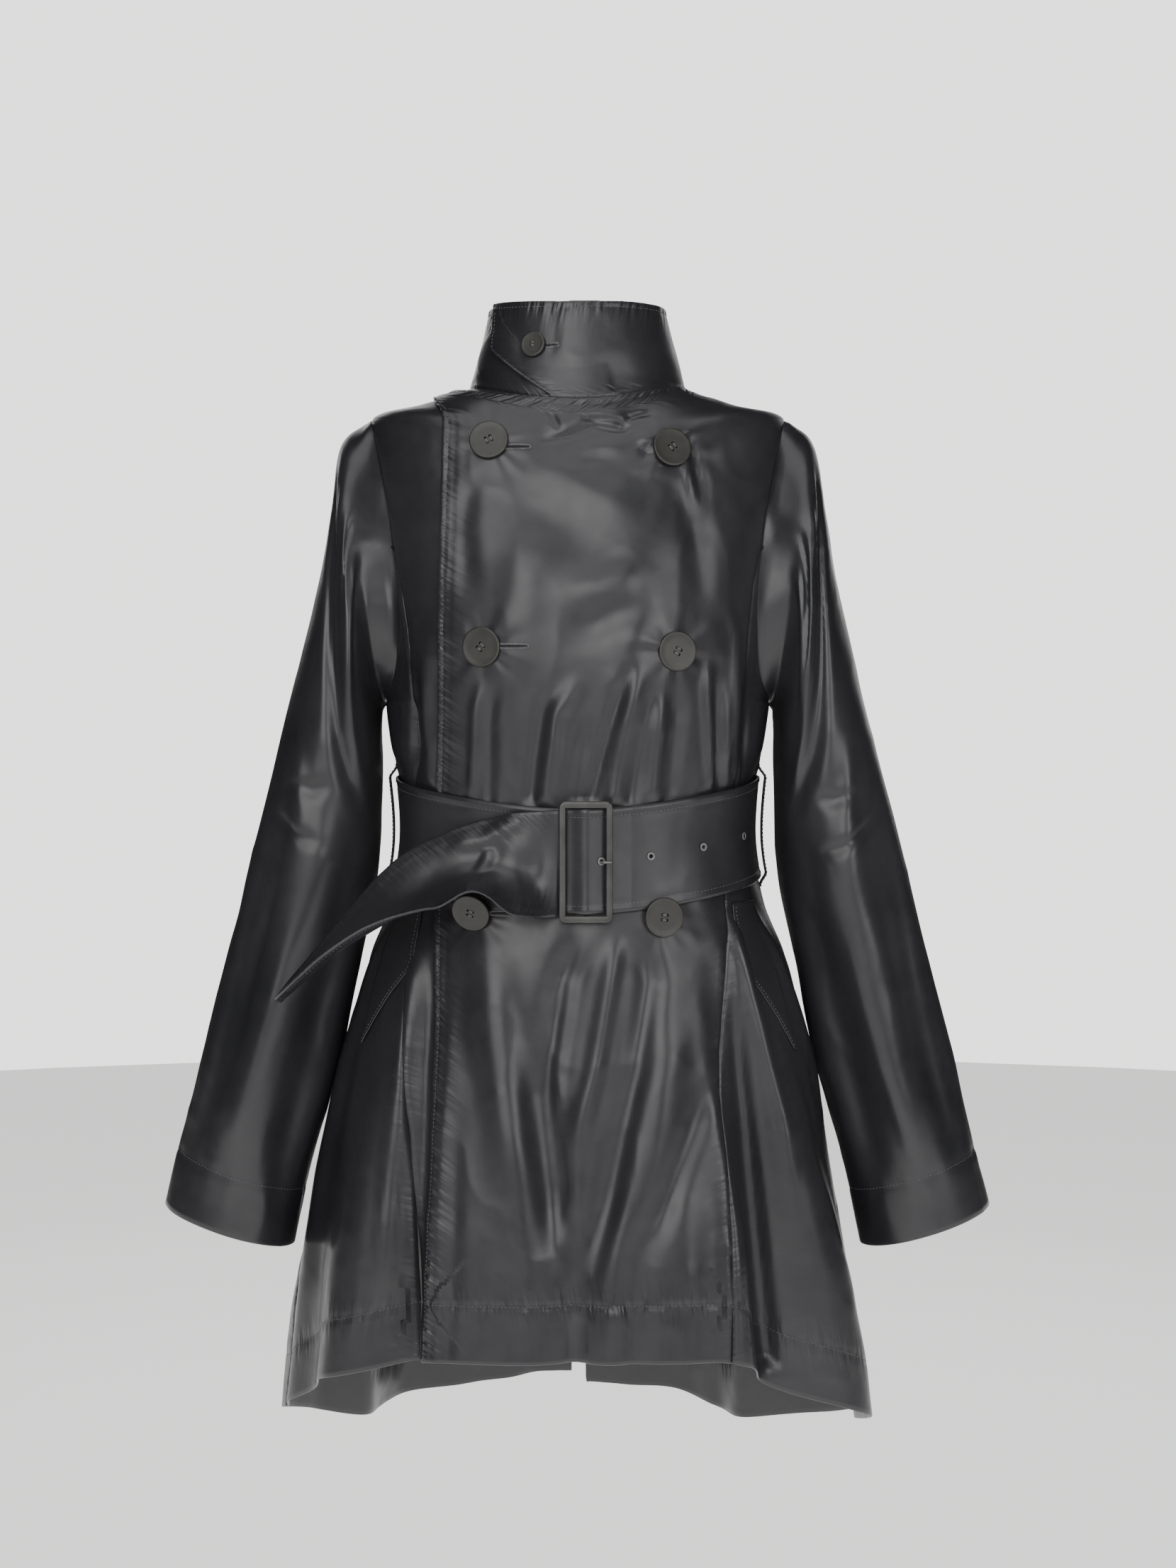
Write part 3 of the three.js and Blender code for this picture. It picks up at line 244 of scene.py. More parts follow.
class Cloth:
    """A grid of points on a cloth's outer face, with rows that run down and columns across."""

    # Width of a sewn groove, and how far beside it the finish's gathers reach.
    groove_width = 2.2
    gather_reach = 7.5
    # Gathers fade between these distances from the side edges, where lines of sewing cross.
    gather_fade = (3.0, 20.0)
    # Height of a folded edge that is sewn down at these insets.
    band_height = 0.55
    band_insets = (3.0, 9.0)
    # Share of the gathers that a seam has, and how deep an edge is tucked in.
    seam_share = 0.3
    tuck_depth = 2.4

    def __init__(self, points: Array, wrapped: bool = False) -> None:
        """Measures the grid before any relief.

        Args:
            points: Points in millimetres, by row and column.
            wrapped: True where the last column joins the first.
        """
        self.points = points
        self.wrapped = wrapped
        self.across = self._arc(1)
        self.down = self._arc(0)
        self.gathers = np.zeros(points.shape)

    def _arc(self, axis: int) -> Array:
        """Distance walked along the rows or the columns.

        Args:
            axis: 0 for down the columns, 1 for along the rows.

        Returns:
            The distance at each point.
        """
        step = np.linalg.norm(np.diff(self.points, axis=axis), axis=-1)
        pad = [(0, 0), (0, 0)]
        pad[axis] = (1, 0)
        return np.cumsum(np.pad(step, pad), axis=axis)

    def from_edge(self, edge: Edge) -> Array:
        """Distance of each point from one edge."""
        if edge is Edge.FIRST:
            return self.across
        if edge is Edge.LAST:
            return self.across[:, -1:] - self.across
        if edge is Edge.TOP:
            return self.down
        return self.down[-1:, :] - self.down

    def normals(self) -> Array:
        """Outward direction at each point."""
        if self.wrapped:
            ahead = np.roll(self.points, -1, axis=1) - np.roll(self.points, 1, axis=1)
        else:
            ahead = np.gradient(self.points, axis=1)
        return unit(np.cross(ahead, -np.gradient(self.points, axis=0)))

    def push(self, depth: Array) -> None:
        """Moves the points out along their normals."""
        self.points = self.points + self.normals() * np.asarray(depth)[..., None]

    def tuck(self, edge: Edge, offset: Array) -> None:
        """Adds one row beyond the top or the bottom, turned in behind the next piece.

        Args:
            edge: Edge that is turned in.
            offset: How far the new row lies from the edge, besides a little inwards.
        """
        end = 0 if edge is Edge.TOP else -1
        row = self.points[end] - self.normals()[end] * self.tuck_depth + offset
        for name, new in (("points", row), ("across", self.across[end]), ("down", self.down[end]),
                          ("gathers", self.gathers[end])):
            parts = [getattr(self, name), new[None]]
            setattr(self, name, np.concatenate(parts[::-1] if edge is Edge.TOP else parts))

    def sew(self, edge: Edge, inset: float, kind: str) -> Array:
        """Relief of a line of sewing beside an edge.

        Args:
            edge: Edge that the line follows.
            inset: Distance of the line from it.
            kind: Its row in SEAM_RELIEF.

        Returns:
            How far each point moves out.
        """
        groove, height, wave, seed = SEAM_RELIEF[kind]
        aside = self.from_edge(edge) - inset
        along = self.down if edge in (Edge.FIRST, Edge.LAST) else self.across
        strength = height if inset else self.seam_share * height
        strength = strength * np.exp(-np.abs(aside) / self.gather_reach)
        if edge in (Edge.TOP, Edge.BOTTOM) and not self.wrapped:
            from_sides = np.minimum(self.across, self.from_edge(Edge.LAST))
            strength = strength * smooth_step(*self.gather_fade, from_sides)
        nearer = (strength > self.gathers[..., 2])[..., None]
        self.gathers = np.where(nearer, np.stack([along + seed * 50.0, aside, strength], -1), self.gathers)
        line = -groove * np.exp(-((aside / self.groove_width) ** 2))
        low, high = self.band_insets
        band = self.band_height * bump(aside + inset / 2, inset / 2) if low < inset < high else 0.0
        return line + band + height * pucker(along, aside, wave, wave * 1.3, seed)

    def line(self, edge: Edge, inset: float, start: float = 0.0, end: float = 1.0) -> tuple[Array, Array]:
        """A line of points at a distance from an edge.

        Args:
            edge: Edge that the line follows.
            inset: Distance from it.
            start: Share of the edge where the line starts.
            end: Share of the edge where it ends.

        Returns:
            The points and the outward directions there.
        """
        away, normals = self.from_edge(edge), self.normals()
        points = self.points
        if edge in (Edge.TOP, Edge.BOTTOM):
            away, points, normals = away.T, points.swapaxes(0, 1), normals.swapaxes(0, 1)
        if edge in (Edge.LAST, Edge.BOTTOM):
            away, points, normals = away[:, ::-1], points[:, ::-1], normals[:, ::-1]
        count = len(away)
        rows = range(int(start * (count - 1)), int(end * (count - 1)) + 1)
        found = [[np.interp(inset, away[row], layer[row, :, axis]) for axis in range(3)] for row in rows
                 for layer in (points, normals)]
        pairs = np.array(found).reshape(-1, 2, 3)
        return pairs[:, 0], unit(pairs[:, 1])

    def piece(self, name: str, thickness: float) -> Piece:
        """Makes the cloth a closed shell with soft edges.

        Args:
            name: Name of the piece.
            thickness: Thickness of the cloth.

        Returns:
            The new object, at the origin.
        """
        rows, columns = self.points.shape[:2]
        outer = self.points.reshape(-1, 3)
        inner = (self.points - self.normals() * thickness).reshape(-1, 3)
        index = np.arange(rows * columns).reshape(rows, columns)
        ahead = np.roll(index, -1, axis=1) if self.wrapped else index[:, 1:]
        here = index if self.wrapped else index[:, :-1]
        face = np.stack([here[:-1], here[1:], ahead[1:], ahead[:-1]], -1).reshape(-1, 4)
        faces = [face, face[:, ::-1] + rows * columns]
        loops = self._edge_loops(index)
        points, uv = [outer, inner], [self._uv()] * 2
        total = 2 * rows * columns
        for loop, inward in loops:
            rim = 0.5 * (outer[loop] + inner[loop]) + 0.45 * thickness * unit(outer[loop] - outer[inward])
            middle = np.arange(len(loop)) + total
            total += len(loop)
            points.append(rim)
            uv.append(self._uv()[loop])
            turn = [np.roll(part, -1) for part in (loop, middle)]
            faces.append(np.stack([loop, turn[0], turn[1], middle], -1))
            faces.append(np.stack([middle, turn[1], turn[0] + rows * columns, loop + rows * columns], -1))
        piece = make_piece(name, np.concatenate(points), np.concatenate(faces), np.concatenate(uv))
        gathers = self.gathers.reshape(-1, 3)
        every = np.concatenate([gathers, gathers] + [gathers[loop] for loop, _ in loops])
        kept = piece.data.attributes.new("gathers", "FLOAT_VECTOR", "POINT")
        kept.data.foreach_set("vector", every.ravel())
        return piece

    def _uv(self) -> Array:
        """Place of each point on the flat cloth, in metres."""
        return np.stack([self.across, -self.down], -1).reshape(-1, 2) * MM

    def _edge_loops(self, index: Array) -> list[tuple[Array, Array]]:
        """Loops of points round the open edges.

        Args:
            index: Index of each point of the grid.

        Returns:
            For each loop its points and the points one step inside them.
        """
        if self.wrapped:
            return [(index[0], index[1]), (index[-1, ::-1], index[-2, ::-1])]
        loop = [index[0, :-1], index[:-1, -1], index[-1, :0:-1], index[:0:-1, 0]]
        near = [index[1, :-1], index[:-1, -2], index[-2, :0:-1], index[:0:-1, 1]]
        return [(np.concatenate(loop), np.concatenate(near))]


def make_piece(name: str, points: Array, faces: Array, uv: Array | None = None) -> Piece:
    """Makes a smooth mesh object from points and faces.

    Args:
        name: Name of the piece.
        points: Points in millimetres.
        faces: Corner indices of each face.
        uv: Place of each point on the flat piece, in metres.

    Returns:
        The new object, at the origin.
    """
    mesh = bpy.data.meshes.new(name)
    mesh.from_pydata((points * MM).tolist(), [], faces.tolist() if isinstance(faces, Array) else faces)
    if uv is not None:
        corners = np.empty(len(mesh.loops), np.int32)
        mesh.loops.foreach_get("vertex_index", corners)
        mesh.uv_layers.new(name="flat").data.foreach_set("uv", uv[corners].ravel().astype(np.float32))
    mesh.polygons.foreach_set("use_smooth", np.ones(len(mesh.polygons), bool))
    mesh.update()
    piece = bpy.data.objects.new(name, mesh)
    bpy.context.scene.collection.objects.link(piece)
    return piece


def lathe(profile: Sequence[tuple[float, float]], sides: int) -> tuple[Array, list[list[int]]]:
    """Turns a closed profile round the third axis.

    Args:
        profile: Distances out and heights; a distance of 0 is a pole.
        sides: Number of steps round.

    Returns:
        The points and the faces.
    """
    turn = np.linspace(0.0, 2.0 * np.pi, sides, endpoint=False)
    points, rings = [], []
    for out, height in profile:
        count = 1 if out == 0 else sides
        rings.append(np.arange(count) + len(points))
        points += [(out * math.cos(t), out * math.sin(t), height) for t in turn[:count]]
    faces = []
    for lower, upper in zip(rings, rings[1:] + ([] if profile[0][0] == 0 else rings[:1])):
        for side in range(sides):
            ahead = (side + 1) % sides
            corners = [lower[side % len(lower)], lower[ahead % len(lower)],
                       upper[ahead % len(upper)], upper[side % len(upper)]]
            faces.append([int(corner) for corner in dict.fromkeys(corners)])
    return np.array(points, float), faces


# Share of a tube's radius by which its rounded end stands out and narrows.
TUBE_CAP = 0.6
# Any direction that no tube here runs along.
TUBE_SIDE = (0.31, 0.22, 0.92)


def tube(path: Array, radius: float | Array, sides: int) -> tuple[Array, Array]:
    """Sweeps a round section along an open path, with rounded ends.

    Args:
        path: Points of the path.
        radius: Radius, alike or at each point.
        sides: Number of sides of the section.

    Returns:
        The points and the faces.
    """
    ways = unit(np.gradient(path, axis=0))
    level = unit(np.cross(ways, TUBE_SIDE))
    rise = np.cross(ways, level)
    turn = np.linspace(0.0, 2.0 * np.pi, sides, endpoint=False)[None, :, None]
    size = np.broadcast_to(np.asarray(radius, float), len(path))[:, None, None]
    rings = path[:, None] + size * (np.cos(turn) * level[:, None] + np.sin(turn) * rise[:, None])
    start = path[0] - ways[0] * TUBE_CAP * size[0, 0, 0]
    end = path[-1] + ways[-1] * TUBE_CAP * size[-1, 0, 0]
    first = start + TUBE_CAP * (rings[0] - path[0])
    last = end + TUBE_CAP * (rings[-1] - path[-1])
    rings = np.concatenate([first[None], rings, last[None]])
    points = np.concatenate([rings.reshape(-1, 3), [start, end]])
    index = np.arange(len(rings) * sides).reshape(len(rings), sides)
    ahead = np.roll(index, -1, axis=1)
    faces = np.stack([index[:-1], ahead[:-1], ahead[1:], index[1:]], -1).reshape(-1, 4).tolist()
    poles = len(rings) * sides
    faces += [[int(a), poles, int(b)] for a, b in zip(index[0], ahead[0])]
    faces += [[int(b), poles + 1, int(a)] for a, b in zip(index[-1], ahead[-1])]
    return points, faces


def join(parts: Sequence[tuple[Array, Sequence[Sequence[int]]]]) -> tuple[Array, list[list[int]]]:
    """Joins the points and faces of several parts into one."""
    points, faces = [], []
    for part, corners in parts:
        start = sum(len(other) for other in points)
        faces += [[int(corner) + start for corner in face] for face in corners]
        points.append(part)
    return np.concatenate(points), faces


def drill(piece: Piece, holes: Sequence[tuple[Array, Sequence]]) -> Mesh:
    """Cuts holes through a piece.

    Args:
        piece: The piece.
        holes: Points and faces of each closed shape that is cut out.

    Returns:
        The piece's new mesh.
    """
    knife = make_piece(piece.name + "_knife", *join(holes))
    cut = piece.modifiers.new("holes", "BOOLEAN")
    cut.operation, cut.solver, cut.object = "DIFFERENCE", "EXACT", knife
    mesh = evaluated_mesh(piece, piece.name)
    piece.modifiers.clear()
    bpy.data.objects.remove(knife)
    return mesh


class NodeTree:
    """Adds and joins nodes of a material in few words."""

    def __init__(self, tree: bpy.types.NodeTree) -> None:
        """Keeps the tree."""
        self.tree = tree

    def add(self, kind: str, settings: dict | None = None, **inputs: object) -> bpy.types.Node:
        """Adds a node.

        Args:
            kind: Blender's name of the node.
            settings: Its properties.
            **inputs: Values or sockets for its inputs, with _ for a space.

        Returns:
            The node.
        """
        node = self.tree.nodes.new(kind)
        for name, value in (settings or {}).items():
            setattr(node, name, value)
        for name, value in inputs.items():
            found = node.inputs[int(name[1:]) if name[1:].isdigit() else name.replace("_", " ")]
            if isinstance(value, Socket):
                self.tree.links.new(value, found)
            else:
                found.default_value = value
        return node

    def math(self, operation: str, first: object, second: object = 0.0) -> Socket:
        """Joins two values or sockets with one of Blender's sums."""
        node = self.add("ShaderNodeMath", {"operation": operation}, _0=first, _1=second)
        return node.outputs[0]

    def noise(self, place: Socket, scale: float, detail: float, rough: float = 0.5) -> Socket:
        """Adds a noise texture, with its cells in a metre and its number of finer layers."""
        node = self.add("ShaderNodeTexNoise", Vector=place, Scale=scale, Detail=detail, Roughness=rough)
        return node.outputs["Fac"]

    def span(self, value: Socket, low: float, high: float, to_low: float, to_high: float) -> Socket:
        """Maps a value from one span to another."""
        node = self.add("ShaderNodeMapRange", _0=value, _1=low, _2=high, _3=to_low, _4=to_high)
        return node.outputs[0]

    def blend(self, first: object, second: object, share: float) -> Socket:
        """Adds two values, the second with a share and the first with the rest."""
        rest = self.math("MULTIPLY", first, 1.0 - share)
        return self.math("ADD", rest, self.math("MULTIPLY", second, share))

    def mix(self, share: object, first: Sequence[float], second: Sequence[float]) -> Socket:
        """Mixes two colours by a share."""
        node = self.add("ShaderNodeMix", {"data_type": "RGBA"}, _0=share)
        node.inputs[6].default_value = (*first, 1.0)
        node.inputs[7].default_value = (*second, 1.0)
        return node.outputs[2]


def new_material(name: str) -> tuple[Material, NodeTree, bpy.types.Node]:
    """Makes a material with its shader.

    Args:
        name: Name of the finish.

    Returns:
        The material, its tree and its shader.
    """
    material = bpy.data.materials.new(name)
    material.use_nodes = True
    shader = next(node for node in material.node_tree.nodes if node.type == "BSDF_PRINCIPLED")
    return material, NodeTree(material.node_tree), shader


@dataclass(frozen=True)
class Taffeta:
    """Woven cloth with a silky gloss, crushed a little where it has been folded."""

    name: str
    light: tuple[float, float, float]
    dark: tuple[float, float, float]
    roughness: float = 0.4
    sheen: float = 0.25
    thread: float = 0.00042
    weave_height: float = 0.000008
    crush: float = 0.0024
    fine_crush: float = 0.08
    gather_rate: float = 0.17
    gather_height: float = 0.0042
    gather_lean: float = 0.2
    gather_stretch: float = 0.16
    slub_scale: tuple[float, float, float] = (40.0, 900.0, 1.0)

    def build(self) -> Material:
        """Builds the cloth's nodes."""
        material, nodes, shader = new_material(self.name)
        place = nodes.add("ShaderNodeTexCoord")
        solid, flat = place.outputs["Object"], place.outputs["UV"]
        apart = nodes.add("ShaderNodeSeparateXYZ", Vector=flat)
        turn = 2.0 * math.pi / self.thread
        warp = nodes.math("SINE", nodes.math("MULTIPLY", apart.outputs[0], turn))
        weft = nodes.math("SINE", nodes.math("MULTIPLY", apart.outputs[1], turn * 0.8))
        weave = nodes.math("MULTIPLY", warp, weft)
        slubs = nodes.add("ShaderNodeMapping", Vector=flat, Scale=self.slub_scale)
        slub = nodes.noise(slubs.outputs[0], 1.0, 2.0)
        broad = nodes.noise(solid, 9.0, 4.0, 0.55)
        fine = nodes.noise(solid, 70.0, 3.0, 0.6)
        crease = nodes.noise(solid, 22.0, 2.0, 0.5)
        tone = nodes.span(nodes.blend(broad, slub, 0.3), 0.35, 0.65, 0.0, 1.0)
        colour = nodes.mix(tone, self.dark, self.light)
        rough = nodes.math("ADD", nodes.span(broad, 0.3, 0.7, -0.05, 0.05),
                           nodes.span(fine, 0.3, 0.7, -0.03, 0.03))
        nodes.tree.links.new(colour, shader.inputs["Base Color"])
        nodes.tree.links.new(nodes.math("ADD", rough, self.roughness), shader.inputs["Roughness"])
        shader.inputs["Sheen Weight"].default_value = self.sheen
        shader.inputs["Sheen Roughness"].default_value = 0.45
        shader.inputs["Specular IOR Level"].default_value = 0.5
        crushes = nodes.math("ADD", crease, nodes.math("MULTIPLY", fine, self.fine_crush))
        crushed = nodes.add("ShaderNodeBump", Height=crushes, Distance=self.crush, Strength=0.35)
        gathered = self.gathers(nodes, crushed.outputs[0])
        woven = nodes.add("ShaderNodeBump", Height=weave, Distance=self.weave_height, Strength=0.35,
                          Normal=gathered)
        nodes.tree.links.new(woven.outputs[0], shader.inputs["Normal"])
        return material

    def gathers(self, nodes: NodeTree, normal: Socket) -> Socket:
        """Bumps the gathers beside sewing, which the cloth's attribute places.

        Args:
            nodes: The finish's nodes.
            normal: Normal that they are added to.

        Returns:
            The new normal.
        """
        kept = nodes.add("ShaderNodeAttribute", {"attribute_name": "gathers"})
        along, aside, strength = nodes.add("ShaderNodeSeparateXYZ", Vector=kept.outputs["Vector"]).outputs
        lean = nodes.math("ADD", along, nodes.math("MULTIPLY", aside, self.gather_lean))
        narrow = nodes.math("MULTIPLY", aside, self.gather_stretch)
        place = nodes.add("ShaderNodeCombineXYZ", X=lean, Y=narrow)
        wave = nodes.math("SUBTRACT", nodes.noise(place.outputs[0], self.gather_rate, 1.5, 0.45), 0.5)
        height = nodes.math("MULTIPLY", wave, strength)
        bumped = nodes.add("ShaderNodeBump", Height=height, Distance=self.gather_height, Strength=1.0,
                           Normal=normal)
        return bumped.outputs[0]


@dataclass(frozen=True)
class Moulded:
    """Moulded or cast surface with fine marks."""

    name: str
    light: tuple[float, float, float]
    dark: tuple[float, float, float]
    roughness: float
    metallic: float = 0.0
    coat: float = 0.0
    grain: float = 60.0
    marks: float = 0.00004

    def build(self) -> Material:
        """Builds the surface's nodes."""
        material, nodes, shader = new_material(self.name)
        solid = nodes.add("ShaderNodeTexCoord").outputs["Object"]
        broad = nodes.noise(solid, self.grain, 3.0)
        fine = nodes.noise(solid, self.grain * 18.0, 3.0, 0.6)
        tone = nodes.span(nodes.blend(broad, fine, 0.25), 0.35, 0.65, 0.0, 1.0)
        colour = nodes.mix(tone, self.dark, self.light)
        nodes.tree.links.new(colour, shader.inputs["Base Color"])
        rough = nodes.span(fine, 0.3, 0.7, self.roughness - 0.06, self.roughness + 0.08)
        nodes.tree.links.new(rough, shader.inputs["Roughness"])
        shader.inputs["Metallic"].default_value = self.metallic
        shader.inputs["Coat Weight"].default_value = self.coat
        shader.inputs["Coat Roughness"].default_value = 0.15
        marks = nodes.add("ShaderNodeBump", Height=fine, Distance=self.marks, Strength=0.5)
        nodes.tree.links.new(marks.outputs[0], shader.inputs["Normal"])
        return material


BODY_SECTIONS = Table("down height half front back front_rise back_rise square", [
    (0, 4, 91, 80, 62, -18, 6, 2.0),
    (43, -9, 134, 86, 80, -30, -6, 2.1),
    (86, -22, 174, 93, 92, -42, -20, 2.2),
    (134, -70, 177, 104, 104, -30, -16, 2.2),
    (194, -130, 172, 117, 110, -14, -8, 2.2),
    (264, -200, 166, 124, 110, -5, -3, 2.2),
    (324, -260, 161, 122, 104, 0, 0, 2.2),
    (394, -330, 150, 118, 97, 0, 0, 2.2),
    (444, -380, 148, 117, 96, 0, 0, 2.2),
    (494, -430, 158, 118, 106, 0, 0, 2.25),
    (534, -470, 175, 122, 126, 0, 0, 2.3),
    (624, -560, 199, 131, 146, 0, 0, 2.35),
    (724, -660, 219, 141, 164, 0, 0, 2.4),
    (824, -760, 236, 151, 182, 0, 0, 2.4),
    (936, -872, 248, 158, 196, 0, 0, 2.4),
])
HEM_HEIGHTS = Table("angle left right", [
    (0, -783, -783), (36, -783, -783), (45, -790, -786), (54, -811, -797), (63, -830, -808),
    (75, -852, -832), (90, -872, -862), (105, -884, -882), (120, -905, -903), (140, -916, -903),
    (160, -902, -889), (180, -896, -886),
])
# Each fold: angle at the waist and the hem, half-width, depth, and where it starts and is full.
SKIRT_FOLDS = (
    (-23, -3, 10, -7, 520, 860), (18, 1, 10, -7, 520, 860), (38, 15, 9, -5, 640, 880),
    (45, 42, 5, 5, 700, 930), (48, 54, 10, -26, 500, 930), (56, 69, 12, 16, 480, 930),
    (80, 88, 11, -10, 560, 930), (104, 112, 14, 18, 500, 930), (128, 133, 12, -24, 510, 930),
    (152, 155, 12, 14, 520, 930), (-47, -46, 7, -14, 500, 930), (-56, -57, 11, 16, 480, 930),
    (-76, -74, 11, -14, 540, 930), (-92, -98, 12, 12, 560, 930), (-118, -120, 12, -22, 510, 930),
    (-140, -140, 12, 20, 500, 930), (-160, -160, 10, -12, 540, 930),
)
# Each fold above the belt: angle, half-width, depth, and where it starts.
BODICE_FOLDS = (
    (57, 7, 4, 250), (68, 7, -5, 260), (79, 8, 4, 270), (-64, 9, -5, 230), (-78, 8, 4, 260),
    (118, 10, -6, 240), (146, 10, 6, 240), (-125, 10, 6, 240), (-150, 10, -6, 240),
)
ARMHOLE = Table("down front back", [
    (86, 174, 174), (100, 170, 171), (116, 166, 168), (134, 162, 165), (164, 156, 159),
    (194, 152, 155), (206, 150.4, 153.7), (228, 148.4, 151.8), (252, 147.5, 150.5),
    (278, 149, 151), (298, 151.5, 152.5), (312, 155, 155.5), (320, 158.5, 158.5), (324, 161, 161),
])
PRINCESS_SEAMS = Table("down left right", [
    (194, 152, 152), (206, 148.2, 148.2), (228, 144, 144), (264, 140, 139), (324, 136, 138),
    (394, 129, 135), (494, 121.5, 137), (936, 121.5, 137),
])
OVER_EDGE = Table("down x", [
    (0, -62), (14, -108), (86, -109), (264, -111), (494, -114.5), (724, -121), (936, -125.5),
])


def section_radius(angle: Array, half: Array, front: Array, back: Array, square: Array) -> Array:
    """Radius of a rounded section.

    Args:
        angle: Direction from the front, in degrees.
        half: Half-width of the section.
        front: Its depth to the front.
        back: Its depth to the back.
        square: How square it is; 2 is an ellipse.

    Returns:
        The radius in each direction.
    """
    turn = np.radians(angle)
    across = np.abs(np.sin(turn)) / half
    along = np.cos(turn)
    depth = np.abs(along) / np.where(along > 0, front, back)
    return 1.0 / (across**square + depth**square) ** (1.0 / square)


def angle_at_width(x: Array, half: Array, depth: Array, square: Array) -> Array:
    """Angle at which a section reaches a half-width, in degrees.

    Args:
        x: The half-width, signed.
        half: Half-width of the section.
        depth: Depth of the section on that side.
        square: How square it is.

    Returns:
        The angle from that side's middle.
    """
    share = np.clip(np.abs(x) / half, 0.0, 1.0)
    y = depth * (1.0 - share**square) ** (1.0 / square)
    return np.degrees(np.arctan2(np.abs(x), y)) * np.sign(x)


@dataclass
class BodyForm:
    """The coat's body as one surface, over the angle from its centre front and the way down."""

    waist: float = 494.0
    waist_height: float = -430.0
    hem: float = 936.0
    shoulder: float = 86.0
    underarm: float = 324.0
    princess: float = 194.0
    overlap_lift: float = 2.9
    seam_gap: float = 0.3
    merge: tuple[float, float] = (60.0, 104.0)
    bodice_full: float = 362.0
    bodice_end: float = 384.0

    def section(self, down: Array) -> dict[str, Array]:
        """Sizes of the section at a distance down."""
        return {column: BODY_SECTIONS.read(column, down) for column in BODY_SECTIONS.columns[1:]}

    def folds(self, angle: Array, down: Array) -> Array:
        """Depth of the main folds.

        Args:
            angle: Angles from the centre front.
            down: Distances down the side.

        Returns:
            How far the folds stand out.
        """
        depth = np.zeros(np.broadcast(angle, down).shape)
        for top, foot, width, deep, start, full in SKIRT_FOLDS:
            grown = smooth_step(start, full, down) ** 0.8
            centre = top + (foot - top) * smooth_step(self.waist, self.hem, down)
            depth = depth + deep * grown * bump(wrap_angle(angle - centre), width)
        for centre, width, deep, start in BODICE_FOLDS:
            ended = 1.0 - smooth_step(self.bodice_full, self.bodice_end, down)
            grown = smooth_step(start, self.bodice_full, down) * ended
            depth = depth + deep * grown * bump(wrap_angle(angle - centre), width)
        return depth

    def hem_height(self, angle: Array) -> Array:
        """Height of the hem at each angle."""
        turned = wrap_angle(angle)
        left, right = (HEM_HEIGHTS.read(side, np.abs(turned)) for side in ("left", "right"))
        return np.where(turned > 0, left, right)

    def surface(self, angle: Array, down: Array, folded: bool = True) -> Array:
        """Points of the coat.

        Args:
            angle: Angles from the centre front.
            down: Distances down the side.
            folded: False for the plain form that the belt spans.

        Returns:
            The points, in millimetres.
        """
        angle, down = np.broadcast_arrays(np.asarray(angle, float), np.asarray(down, float))
        size = self.section(down)
        radius = section_radius(angle, size["half"], size["front"], size["back"], size["square"])
        if folded:
            radius = radius + self.folds(angle, down)
        turn = np.radians(angle)
        rise = np.where(np.cos(turn) > 0, size["front_rise"], size["back_rise"])
        height = size["height"] + rise * np.cos(turn) ** 2
        waist_height = BODY_SECTIONS.read("height", np.array(self.waist))
        share = (down - self.waist) / (self.hem - self.waist)
        skirt = waist_height + (self.hem_height(angle) - waist_height) * share
        height = np.where(down <= self.waist, height, skirt)
        return np.stack([radius * np.sin(turn), -radius * np.cos(turn), height], -1)

    def normal(self, angle: Array, down: Array, folded: bool = True) -> Array:
        """Outward directions of the coat at some angles and distances down."""
        across = self.surface(angle + 0.4, down, folded) - self.surface(angle - 0.4, down, folded)
        along = self.surface(angle, down - 1.0, folded) - self.surface(angle, down + 1.0, folded)
        return unit(np.cross(across, along))

    def point(self, angle: Array, down: Array, lift: Array) -> Array:
        """Points of the coat moved out by a lift."""
        angle, down = np.broadcast_arrays(np.asarray(angle, float), np.asarray(down, float))
        inside = np.clip(down, 1.0, self.hem - 1.0)
        return self.surface(angle, down) + self.normal(angle, inside) * np.asarray(lift)[..., None]

    def gap_angle(self, angle: Array, down: Array, distance: Array) -> Array:
        """Angle that a small distance along the section takes up."""
        length = np.linalg.norm(self.surface(angle + 0.5, down) - self.surface(angle - 0.5, down), axis=-1)
        return distance / length

    def front_angle(self, x: Array, down: Array) -> Array:
        """Angle at which the front reaches a half-width."""
        size = self.section(down)
        return angle_at_width(x, size["half"], size["front"], size["square"])

    def front_side(self, down: Array) -> Array:
        """Angle of the front's outer edge: shoulder, armhole, then side seam."""
        inside = self.front_angle(ARMHOLE.read("front", down), down)
        return np.where((down <= self.shoulder) | (down >= self.underarm), RIGHT_ANGLE, inside)

    def back_side(self, down: Array) -> Array:
        """Angle of the back's outer edge."""
        size = self.section(down)
        hole = ARMHOLE.read("back", down)
        inside = 180.0 - angle_at_width(hole, size["half"], size["back"], size["square"])
        return np.where((down <= self.shoulder) | (down >= self.underarm), RIGHT_ANGLE, inside)

    def panel_edge(self, side: str, down: Array) -> Array:
        """Angle of a front panel's outer edge: armhole, then princess seam."""
        seam = self.front_angle(PRINCESS_SEAMS.read(side, down), down)
        return np.where(down < self.princess, self.front_side(down), seam)

    def over_lift(self, angle: Array, down: Array) -> Array:
        """How far the over front stands out from the body."""
        start, end = (self.front_angle(np.array(x), down) for x in self.merge)
        return self.overlap_lift * (1.0 - smooth_step(start, end, angle))

    def down_at_height(self, angle: Array, height: Array) -> Array:
        """Distance down at which the plain form has a height, near the waist."""
        share = (self.waist_height - height) / (self.waist_height - self.hem_height(angle))
        below = self.waist + share * (self.hem - self.waist)
        return np.where(height >= self.waist_height, self.waist - (height - self.waist_height), below)


BODY = BodyForm()

